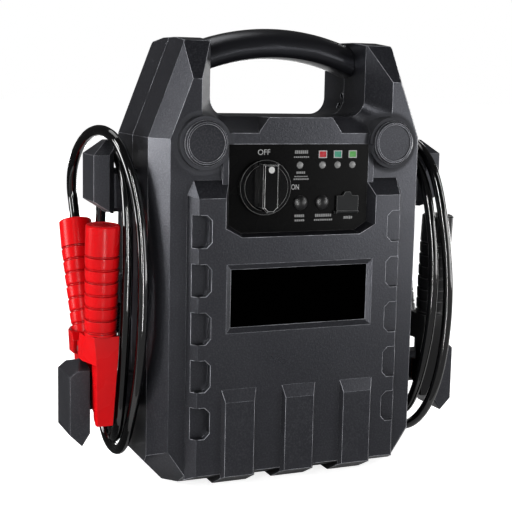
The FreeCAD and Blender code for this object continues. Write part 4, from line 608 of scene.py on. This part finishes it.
def hangingRod(tree, around, radius, length):
    # a cylinder whose top is at the origin
    rod = grow(tree, "MeshCylinder", {"Vertices": around, "Radius": radius, "Depth": length})
    drop = combine(tree, z=times(tree, length, -0.5))
    return grow(tree, "Transform", {"Geometry": rod, "Translation": drop})


def onFacingPoints(tree, given, shape):
    # a copy on each point, with its Z axis along the point's facing
    facing = add(tree, "GeometryNodeInputNamedAttribute", {"Name": "facing"}, data_type="FLOAT_VECTOR")
    turn = add(tree, "FunctionNodeAlignRotationToVector", {"Vector": facing.outputs["Attribute"]}, axis="Z")
    return grow(tree, "InstanceOnPoints", {"Points": given["Geometry"], "Instance": shape,
                                           "Rotation": turn.outputs[0]})


def pointMesh(spots, facings):
    mesh = bpy.data.meshes.new("spots")
    mesh.from_pydata([tuple(s) for s in spots], [], [])
    facing = mesh.attributes.new("facing", "FLOAT_VECTOR", "POINT")
    for item, value in zip(facing.data, facings):
        item.vector = value
    return mesh


def growPiece(name, tree, sizes, material, body, replaced=(), points=None):
    holder = newObject("grower", points or bpy.data.meshes.new("grower"))
    modifier = holder.modifiers.new("grow", "NODES")
    modifier.node_group = tree
    keys = {item.name: item.identifier for item in tree.interface.items_tree
            if item.item_type == "SOCKET" and item.in_out == "INPUT"}
    for label, value in {**sizes, "Material": material}.items():
        modifier[keys[label]] = value
    graph = bpy.context.evaluated_depsgraph_get()
    grown = bpy.data.meshes.new_from_object(holder.evaluated_get(graph), depsgraph=graph)
    bpy.data.objects.remove(holder)
    shape = bmesh.new()
    shape.from_mesh(grown)
    bmesh.ops.dissolve_degenerate(shape, dist=weldWithin / 2, edges=shape.edges)
    return showPiece(name, asMesh(shape, name, material), body, replaced)


# grip sleeves and strain reliefs: a collar, then rings with small grooves, down one axis.
# Spots are Y and Z in millimetres, then the radius at the low end in metres
sleeveSet = {
    "halves": {"front": ((-33.5, 222.8), (-26.5, 130.0), 0.0132),
               "rear": ((56.5, 216.0), (22.0, 125.0), 0.0116)},
    "grip": {"Top Radius": 0.0143, "Collar": 0.0245, "Rings": 7, "Groove": 0.0019, "Depth": 0.0012,
             "Draft": 0.0005, "Rim": 0.0011, "Around": 44, "Along": 330},
    "runOn": 0.006,
    "relief": {"Top Radius": 0.0073, "Low Radius": 0.0059, "Collar": 0.004, "Rings": 6,
               "Groove": 0.0013, "Depth": 0.0009, "Draft": 0.0, "Rim": 0.0004, "Around": 36,
               "Along": 200, "Cut Height": 0.0},
    "reliefTop": (0.1335, 0.034, 0.1456), "reliefLow": 0.1178,
    "soft": 0.0005, "swell": 0.6,
    "pressedIn": (0.0082, 0.0087), "pressedOut": (0.0097, 0.0102), "pressed": 0.0009, "weld": 4e-6,
}


def buildSleeve(values):
    tree, given, out = newShape("ringedSleeve", [
        ("Start", "Vector", None), ("Axis", "Vector", None), ("Length", "Float", 0.1),
        ("Cut Height", "Float", 0.0), ("Top Radius", "Float", 0.014), ("Low Radius", "Float", 0.013),
        ("Collar", "Float", 0.024), ("Rings", "Int", 7), ("Groove", "Float", 0.002),
        ("Depth", "Float", 0.001), ("Draft", "Float", 0.0), ("Rim", "Float", 0.001),
        ("Around", "Int", 40), ("Along", "Int", 300)])
    sheet = grow(tree, "MeshGrid", {"Size X": 1.0, "Size Y": 1.0, "Vertices X": given["Around"],
                                    "Vertices Y": given["Along"]})
    flat = axesOf(tree, grow(tree, "InputPosition"))
    top, low, length, axis = given["Top Radius"], given["Low Radius"], given["Length"], given["Axis"]
    total = plus(tree, plus(tree, top, low), length)
    walk = times(tree, plus(tree, flat["Y"], 0.5), total)
    down = calc(tree, "MINIMUM", calc(tree, "MAXIMUM", minus(tree, walk, top), 0.0), length)
    # radius of the plain taper, then the rings cut into it
    past = minus(tree, down, given["Collar"])
    run = minus(tree, length, given["Collar"])
    share = calc(tree, "MAXIMUM", over(tree, past, run), 0.0)
    taper = plus(tree, top, times(tree, minus(tree, low, top), share))
    pitch = over(tree, run, given["Rings"])
    inRing = calc(tree, "FLOORED_MODULO", past, pitch)
    onRings = calc(tree, "GREATER_THAN", past, 0.0)
    soft, groove = values["soft"], given["Groove"]
    grooved = remap(tree, inRing, minus(tree, groove, soft), groove, 1.0, 0.0, "SMOOTHSTEP")
    rounded = remap(tree, inRing, minus(tree, pitch, 2 * soft), pitch, 0.0, 1.0, "SMOOTHSTEP")
    lean = minus(tree, over(tree, inRing, pitch), 0.5)
    shaped = plus(tree, times(tree, rounded, values["swell"] * soft), times(tree, lean, given["Draft"]))
    cut = times(tree, plus(tree, times(tree, grooved, given["Depth"]), shaped), onRings)
    rim = remap(tree, down, 0.0, given["Rim"], 1.0, 0.0, "SMOOTHSTEP")
    wall = minus(tree, minus(tree, taper, cut), times(tree, rim, given["Rim"]))
    face = calc(tree, "MINIMUM", walk, minus(tree, total, walk))
    radius = calc(tree, "MINIMUM", wall, face)
    # a ring pressed into the end face round the core
    ringIn = remap(tree, walk, *values["pressedIn"], 0.0, 1.0, "SMOOTHSTEP")
    ringOut = remap(tree, walk, *values["pressedOut"], 1.0, 0.0, "SMOOTHSTEP")
    down = plus(tree, down, times(tree, times(tree, ringIn, ringOut), values["pressed"]))
    # laid round the axis
    side = vectorCalc(tree, "NORMALIZE", vectorCalc(tree, "CROSS_PRODUCT", axis, (1.0, 0.0, 0.0)))
    other = vectorCalc(tree, "CROSS_PRODUCT", axis, side)
    angle = times(tree, flat["X"], 2 * math.pi)
    outward = vectorCalc(tree, "ADD", vectorCalc(tree, "SCALE", side, calc(tree, "COSINE", angle)),
                         vectorCalc(tree, "SCALE", other, calc(tree, "SINE", angle)))
    spot = vectorCalc(tree, "ADD", vectorCalc(tree, "SCALE", axis, down),
                      vectorCalc(tree, "SCALE", outward, radius))
    spot = vectorCalc(tree, "ADD", given["Start"], spot)
    moved = grow(tree, "SetPosition", {"Geometry": sheet, "Position": spot})
    # whatever is below the cut is slid back up the axis to it
    height = axesOf(tree, grow(tree, "InputPosition"))["Z"]
    fall = axesOf(tree, axis)["Z"]
    back = calc(tree, "MINIMUM", over(tree, minus(tree, given["Cut Height"], height), fall), 0.0)
    slide = vectorCalc(tree, "SCALE", axis, back)
    trimmed = grow(tree, "SetPosition", {"Geometry": moved, "Offset": slide})
    merged = grow(tree, "MergeByDistance", {"Geometry": trimmed, "Distance": values["weld"]})
    return endShape(tree, given, out, merged)


def addSleeves(values):
    sleeve = buildSleeve(values)
    for colour, x in clampX.items():
        for half, (topSpot, lowSpot, lowRadius) in values["halves"].items():
            node = colour + "_clamp_" + half + "_grip"
            start = Vector((x, topSpot[0] * mm, topSpot[1] * mm))
            end = Vector((x, lowSpot[0] * mm, lowSpot[1] * mm))
            sizes = {**values["grip"], "Start": start, "Axis": (end - start).normalized(),
                     "Length": (end - start).length + values["runOn"], "Cut Height": end.z,
                     "Low Radius": lowRadius}
            growPiece(colour + "Clamp" + half.title() + "Sleeve", sleeve, sizes, finishFor(node),
                      bodyOf[node], (node,))
    x, y, z = values["reliefTop"]
    for side, where in sides:
        sizes = {**values["relief"], "Start": (side * x, y, z), "Axis": (0, 0, -1),
                 "Length": z - values["reliefLow"]}
        growPiece("strainRelief" + where.title(), sleeve, sizes, materials["cleatPlastic"],
                  "pack")


addSleeves(sleeveSet)
print("sleeves grown")

# torsion springs between the clamp halves
springSet = {"sizes": {"Turns": 4.0, "Radius": 0.0046, "Wire": 0.00055, "Width": 0.0037}, "height": 0.1135}


def buildSpring():
    tree, given, out = newShape("coilSpring", [
        ("Centre", "Vector", None), ("Turns", "Float", 4.0), ("Radius", "Float", 0.004),
        ("Wire", "Float", 0.0005), ("Width", "Float", 0.004)])
    coil = grow(tree, "CurveSpiral", {
        "Resolution": 24, "Rotations": given["Turns"], "Start Radius": given["Radius"],
        "End Radius": given["Radius"], "Height": given["Width"]})
    ring = grow(tree, "CurvePrimitiveCircle", {"Resolution": 10, "Radius": given["Wire"]})
    tube = grow(tree, "CurveToMesh", {"Curve": coil, "Profile Curve": ring, "Fill Caps": True})
    half = combine(tree, z=times(tree, given["Width"], -0.5))
    middle = grow(tree, "Transform", {"Geometry": tube, "Translation": half})
    laid = grow(tree, "Transform", {"Geometry": middle, "Translation": given["Centre"],
                                    "Rotation": (0.0, math.pi / 2, 0.0)})
    return endShape(tree, given, out, laid)


def addSprings(values):
    spring = buildSpring()
    for colour, x in clampX.items():
        node = colour + "_clamp_spring"
        sizes = {**values["sizes"], "Centre": (x, 0, values["height"])}
        growPiece(colour + "ClampCoil", spring, sizes, materials["zincSteel"],
                  bodyOf[node], (node,))


addSprings(springSet)

# screws: the spot is where the head's flat back lies, facing is where the head looks, and the
# sizes are the head's radius and height and the shank's radius and length
screwSet = {
    "tower_screws": {"spots": [(side * 0.0749, y * mm, z * mm) for side in (1, -1)
                               for y, z in ((3.6, 329.0), (6.8, 320.5))],
                     "facing": "inward", "sizes": (0.0026, 0.0015, 0.0015, 0.006), "finish": "blackSteel"},
    "case_screws": {"spots": [(side * x * mm, 0.030, z * mm) for side in (1, -1)
                              for x, z in ((91, 340), (113, 262), (110, 128), (100, 40))],
                    "facing": (0, 1, 0), "sizes": (0.0038, 0.003, 0.002, 0.055), "finish": "blackSteel"},
    "board_screws": {"spots": [(x * mm, -0.0484, z * mm) for x in (-1.6, 56.1) for z in (230.0, 281.1)],
                     "facing": (0, 1, 0), "sizes": (0.0022, 0.0016, 0.0012, 0.0076), "finish": "zincSteel"},
    "bracket_screws": {"spots": [(side * 0.111, 0.0, 0.181) for side in (1, -1)],
                       "facing": (0, 0, 1), "sizes": (0.004, 0.003, 0.002, 0.008), "finish": "zincSteel"},
}
screwHead = {"taper": 0.82, "slotLength": 1.15, "slotWidth": 0.24}    # shares of the head's radius


def buildScrew(values):
    tree, given, out = newShape("crossScrew", [
        ("Geometry", "Geometry", None), ("Head Radius", "Float", 0.003), ("Head Height", "Float", 0.002),
        ("Shank Radius", "Float", 0.0015), ("Shank Length", "Float", 0.01)])
    radius, height = given["Head Radius"], given["Head Height"]
    head = grow(tree, "MeshCone", {
        "Vertices": 28, "Radius Top": times(tree, radius, values["taper"]),
        "Radius Bottom": radius, "Depth": height})
    slots = add(tree, "GeometryNodeJoinGeometry")
    for turn in (0.0, math.pi / 2):
        size = combine(tree, times(tree, radius, values["slotLength"]),
                       times(tree, radius, values["slotWidth"]), height)
        bar = grow(tree, "MeshCube", {"Size": size})
        turned = grow(tree, "Transform", {"Geometry": bar, "Translation": combine(tree, z=height),
                                          "Rotation": (0.0, 0.0, turn)})
        tree.links.new(turned, slots.inputs[0])
    cut = grow(tree, "MeshBoolean", {"Mesh 1": head, "Mesh 2": slots.outputs[0]}, operation="DIFFERENCE")
    shank = hangingRod(tree, 16, given["Shank Radius"], given["Shank Length"])
    whole = add(tree, "GeometryNodeJoinGeometry")
    tree.links.new(cut, whole.inputs[0])
    tree.links.new(shank, whole.inputs[0])
    return endShape(tree, given, out, onFacingPoints(tree, given, whole.outputs[0]))


def addScrews(sets):
    screw = buildScrew(screwHead)
    labels = ("Head Radius", "Head Height", "Shank Radius", "Shank Length")
    for name, values in sets.items():
        facings = [values["facing"]] * len(values["spots"])
        if values["facing"] == "inward":
            facings = [(-math.copysign(1, spot[0]), 0, 0) for spot in values["spots"]]
        growPiece(name.replace("_screws", "ScrewSet"), screw, dict(zip(labels, values["sizes"])),
                  materials[values["finish"]], bodyOf[name], (name,),
                  pointMesh(values["spots"], facings))


addScrews(screwSet)
print("springs and screws grown")

# lamp lenses and the frames round the level windows, repeated along the panel
panelSet = {
    "lampSpots": [(x * mm, plateFront, 0.2721) for x in (-0.2, 20.8, 35.0, 49.1)],
    "lamp": {"Radius": 0.0029, "Proud": 0.0006, "Back": 0.015},
    "frameSpots": [(x * mm, plateFront, 0.2811) for x in (20.8, 34.9, 49.0)],
    "frame": {"Outer": (0.0077, 0.0008, 0.0063), "Inner": (0.0063, 0.002, 0.0049)},
    "facing": (0, -1, 0),
}


def buildLamp():
    tree, given, out = newShape("lampLens", [
        ("Geometry", "Geometry", None), ("Radius", "Float", 0.003), ("Proud", "Float", 0.0006),
        ("Back", "Float", 0.015)])
    dome = grow(tree, "MeshUVSphere", {"Segments": 32, "Rings": 16, "Radius": given["Radius"]})
    squat = combine(tree, 1.0, 1.0, over(tree, given["Proud"], given["Radius"]))
    flat = grow(tree, "Transform", {"Geometry": dome, "Scale": squat})
    stem = hangingRod(tree, 32, given["Radius"], given["Back"])
    whole = add(tree, "GeometryNodeMeshBoolean", {"Mesh 2": flat}, operation="UNION")
    tree.links.new(stem, whole.inputs["Mesh 2"])
    return endShape(tree, given, out, onFacingPoints(tree, given, whole.outputs[0]))


def buildFrame():
    tree, given, out = newShape("windowFrame", [
        ("Geometry", "Geometry", None), ("Outer", "Vector", None), ("Inner", "Vector", None)])
    outer = grow(tree, "MeshCube", {"Size": given["Outer"]})
    inner = grow(tree, "MeshCube", {"Size": given["Inner"]})
    ring = grow(tree, "MeshBoolean", {"Mesh 1": outer, "Mesh 2": inner}, operation="DIFFERENCE")
    placed = grow(tree, "InstanceOnPoints", {"Points": given["Geometry"], "Instance": ring})
    return endShape(tree, given, out, placed)


def dressPanel(values):
    facings = [values["facing"]] * len(values["lampSpots"])
    growPiece("lampLensSet", buildLamp(), values["lamp"], materials["lampMilk"], "pack",
              ("lamp_lenses",), pointMesh(values["lampSpots"], facings))
    growPiece("levelFrameSet", buildFrame(), values["frame"], materials["printWhite"], "pack",
              (), pointMesh(values["frameSpots"], facings))


dressPanel(panelSet)

# corner caps: a flat face inside a raised double rim, radius and distance in front of the boss
capSet = {
    "boss": -0.069, "around": 72, "sharpFrom": 30.0,
    "profile": ((0, 2.3), (15.0, 2.3), (15.4, 3.2), (17.0, 3.2), (18.6, 1.7), (18.6, 0.0),
                (4.0, 0.0), (4.0, -10.0), (0, -10.0)),
}


def addCaps(values):
    for side, where in sides:
        node = "corner_cap_" + where
        shape = bmesh.new()
        middle = Vector((side * capSpot[0], values["boss"], capSpot[1]))
        points = [shape.verts.new(middle + Vector((r * mm, -out * mm, 0))) for r, out in values["profile"]]
        lines = [shape.edges.new(pair) for pair in zip(points, points[1:])]
        bmesh.ops.spin(shape, geom=points + lines, cent=middle, axis=(0, 1, 0), dvec=(0, 0, 0),
                       angle=2 * math.pi, steps=values["around"])
        mesh = asMesh(shape, "cap" + where.title(), materials["capPlastic"])
        showPiece("cap" + where.title(), mesh, bodyOf[node], (node,), values["sharpFrom"])


addCaps(capSet)
print("panel and caps dressed")

# prints on the panel: OFF and ON at the switch, and rows of small plain bars.
# Words are middle, foot, width and height, bars are left, right, middle and height, in millimetres
printSet = {
    "thick": 0.00006, "lift": 0.4, "fontDepth": 0.02,
    "words": (("OFF", -33.2, 280.9, 11.0, 4.5), ("ON", -4.1, 251.7, 7.0, 4.4)),
    "bars": ((-5.1, 6.9, 283.1, 2.8), (-5.9, 8.0, 278.9, 1.2), (-3.2, 4.6, 265.9, 1.9),
             (-5.0, 7.1, 262.6, 0.8), (-5.8, 8.1, 260.4, 1.2), (-4.1, 4.8, 229.5, 2.1),
             (-3.9, 4.9, 225.6, 1.6), (15.1, 30.2, 229.4, 2.4), (14.2, 31.3, 225.6, 1.4),
             (42.2, 50.4, 227.0, 2.2)),
    "stroke": 1.25, "gap": 0.42, "fewest": 3,
}


def addWords(values):
    for word, x, z, width, height in values["words"]:
        data = bpy.data.curves.new("print" + word, "FONT")
        data.body = word
        data.align_x = "CENTER"
        data.extrude = values["fontDepth"]
        text = newObject("print" + word, data)
        graph = bpy.context.evaluated_depsgraph_get()
        mesh = bpy.data.meshes.new_from_object(text.evaluated_get(graph), depsgraph=graph)
        bpy.data.objects.remove(text)
        span = [max(v.co[k] for v in mesh.vertices) - min(v.co[k] for v in mesh.vertices) for k in range(3)]
        low = min(v.co.y for v in mesh.vertices)
        for v in mesh.vertices:
            v.co = (x * mm + v.co.x / span[0] * width * mm,
                    plateFront - (v.co.z / span[2] + values["lift"]) * values["thick"],
                    z * mm + (v.co.y - low) / span[1] * height * mm)
        giveMaterial(mesh, materials["printWhite"])
        showPiece("word" + word.title(), mesh, "pack")


def addBars(values):
    shape = bmesh.new()
    front, rear = plateFront - values["thick"], plateFront + values["thick"]
    for start, end, middle, height in values["bars"]:
        count = max(values["fewest"], round((end - start) / (values["stroke"] + values["gap"])))
        pitch = (end - start + values["gap"]) / count
        low, high = middle - height / 2, middle + height / 2
        for k in range(count):
            left = start + k * pitch
            right = left + pitch - values["gap"]
            corners = [(left, low), (right, low), (right, high), (left, high)]
            face, back = ([shape.verts.new((x * mm, y, z * mm)) for x, z in corners] for y in (front, rear))
            shape.faces.new(face)
            shape.faces.new(back[::-1])
            for i in range(4):
                j = (i + 1) % 4
                shape.faces.new((face[j], face[i], back[i], back[j]))
    bars = asMesh(shape, "captionBars", materials["printGrey"])
    showPiece("captionBars", bars, "pack")


addWords(printSet)
addBars(printSet)
print("prints laid")

# a plain pale floor under a white studio sky. Softboxes stand to the left, right and above, narrow
# strips draw the highlights, and two low fills open up the right side and the back.
# Black cards all round, on the floor to the left and in front, and one narrow bright card before
# the red lead are seen by reflections only.
studioSet = {
    "floorSize": 30.0, "floorColour": grey(0.86), "floorGlow": 0.8, "floorRough": 0.9,
    "floorSpecular": 0.1, "sky": 0.25,
    # name, place, what it faces, width, height and watts
    "lights": (
        ("sideSoft", (-1.43, 0.27, 0.37), (-0.12, -0.05, 0.24), 0.45, 0.6, 12.0),
        ("highSoft", (-1.35, -0.1, 1.1), (-0.1, 0, 0.3), 0.4, 0.45, 7.0),
        ("frontSoft", (0.9, -1.08, 0.22), (0.05, -0.06, 0.18), 0.65, 0.45, 4.4),
        ("topSoft", (-0.2, 0.55, 1.9), (0, 0, 0.3), 1.2, 0.9, 8.0),
        ("leftStrip", (-1.0, -1.25, 0.5), (-0.1, 0, 0.25), 0.04, 0.9, 8.0),
        ("rightStrip", (1.05, -0.55, 0.45), (0.1, 0, 0.2), 0.08, 0.9, 6.5),
        ("backStrip", (0.9, 0.9, 0.5), (0.1, 0, 0.2), 0.1, 0.9, 1.2),
        ("rightFill", (1.7, 0.7, 0.12), (0.1, 0.02, 0.2), 0.8, 0.2, 5.0),
        ("rearFill", (0.4, 2.0, 0.12), (0, 0.05, 0.2), 1.0, 0.2, 5.0),
    ),
    "felt": 0.004, "roomHalf": 2.6, "roomTop": 3, "roomGlow": 0.06,
    # glow and corners
    "cards": (
        (0.06, (-2.6, -0.05, 0.004), (-0.135, -0.05, 0.004), (-0.135, 2.6, 0.004), (-2.6, 2.6, 0.004)),
        (0.32, (-2.6, -2.6, 0.004), (2.6, -2.6, 0.004), (2.6, -0.1, 0.004), (-2.6, -0.1, 0.004)),
        (90.0, (-0.187, -0.42, 0.01), (-0.174, -0.42, 0.01), (-0.174, -0.42, 0.45), (-0.187, -0.42, 0.45)),
    ),
}


def seenAsWhite(tree, kinds):
    # 1 for the rays that show the backdrop itself
    ray = add(tree, "ShaderNodeLightPath").outputs
    seen = ray[kinds[0]]
    for kind in kinds[1:]:
        seen = calc(tree, "MAXIMUM", seen, ray[kind])
    return seen


def cardMesh(name, corners, material):
    mesh = bpy.data.meshes.new(name)
    mesh.from_pydata(corners, [], [(0, 1, 2, 3)])
    mesh.materials.append(material)
    return newObject(name, mesh)


def addFloor(values):
    half = values["floorSize"] / 2
    paper, tree, shader = newMaterial("palePaper")
    shader["Base Color"].default_value = (*values["floorColour"], 1)
    shader["Roughness"].default_value = values["floorRough"]
    shader["Specular IOR Level"].default_value = values["floorSpecular"]
    shader["Emission Color"].default_value = (1, 1, 1, 1)
    seen = seenAsWhite(tree, ("Is Camera Ray", "Is Transmission Ray"))
    tree.links.new(times(tree, seen, values["floorGlow"]), shader["Emission Strength"])
    corners = [(-half, -half, 0), (half, -half, 0), (half, half, 0), (-half, half, 0)]
    floor = cardMesh("studioFloor", corners, paper)


def addFlags(values):
    half, top, glow = values["roomHalf"], values["roomTop"], values["roomGlow"]
    around = ((-half, -half), (half, -half), (half, half), (-half, half))
    walls = zip(around, around[1:] + around[:1])
    cards = [(glow, (*a, 0), (*b, 0), (*b, top), (*a, top)) for a, b in walls]
    cards.append((glow, *((*a, top) for a in around)))
    for k, (glow, *corners) in enumerate(cards + list(values["cards"])):
        felt, _, cloth = newMaterial("felt%d" % k)
        cloth["Base Color"].default_value = (*grey(values["felt"]), 1)
        cloth["Specular IOR Level"].default_value = 0.0
        cloth["Emission Color"].default_value = (1, 1, 1, 1)
        cloth["Emission Strength"].default_value = glow
        flag = cardMesh("flag%d" % k, corners, felt)
        flag.visible_camera = flag.visible_diffuse = flag.visible_shadow = flag.visible_transmission = False


def addLights(values):
    for name, place, target, width, height, power in values["lights"]:
        light = bpy.data.lights.new(name, "AREA")
        light.shape = "RECTANGLE"
        light.size, light.size_y, light.energy = width, height, power
        lamp = newObject(name, light)
        lamp.location = place
        lamp.rotation_mode = "QUATERNION"
        lamp.rotation_quaternion = (Vector(target) - Vector(place)).to_track_quat("-Z", "Y")


def addSky(values):
    world = bpy.data.worlds.new("studioSky")
    world.use_nodes = True
    bpy.context.scene.world = world
    tree = world.node_tree
    seen = seenAsWhite(tree, ("Is Camera Ray", "Is Transmission Ray", "Is Glossy Ray"))
    strength = remap(tree, seen, 0.0, 1.0, values["sky"], 1.0)
    tree.nodes["Background"].inputs["Color"].default_value = (1, 1, 1, 1)
    tree.links.new(strength, tree.nodes["Background"].inputs["Strength"])


addFloor(studioSet)
addFlags(studioSet)
addLights(studioSet)
addSky(studioSet)
bpy.context.scene.view_settings.view_transform = "Standard"
print("studio set")

bpy.context.view_layer.update()
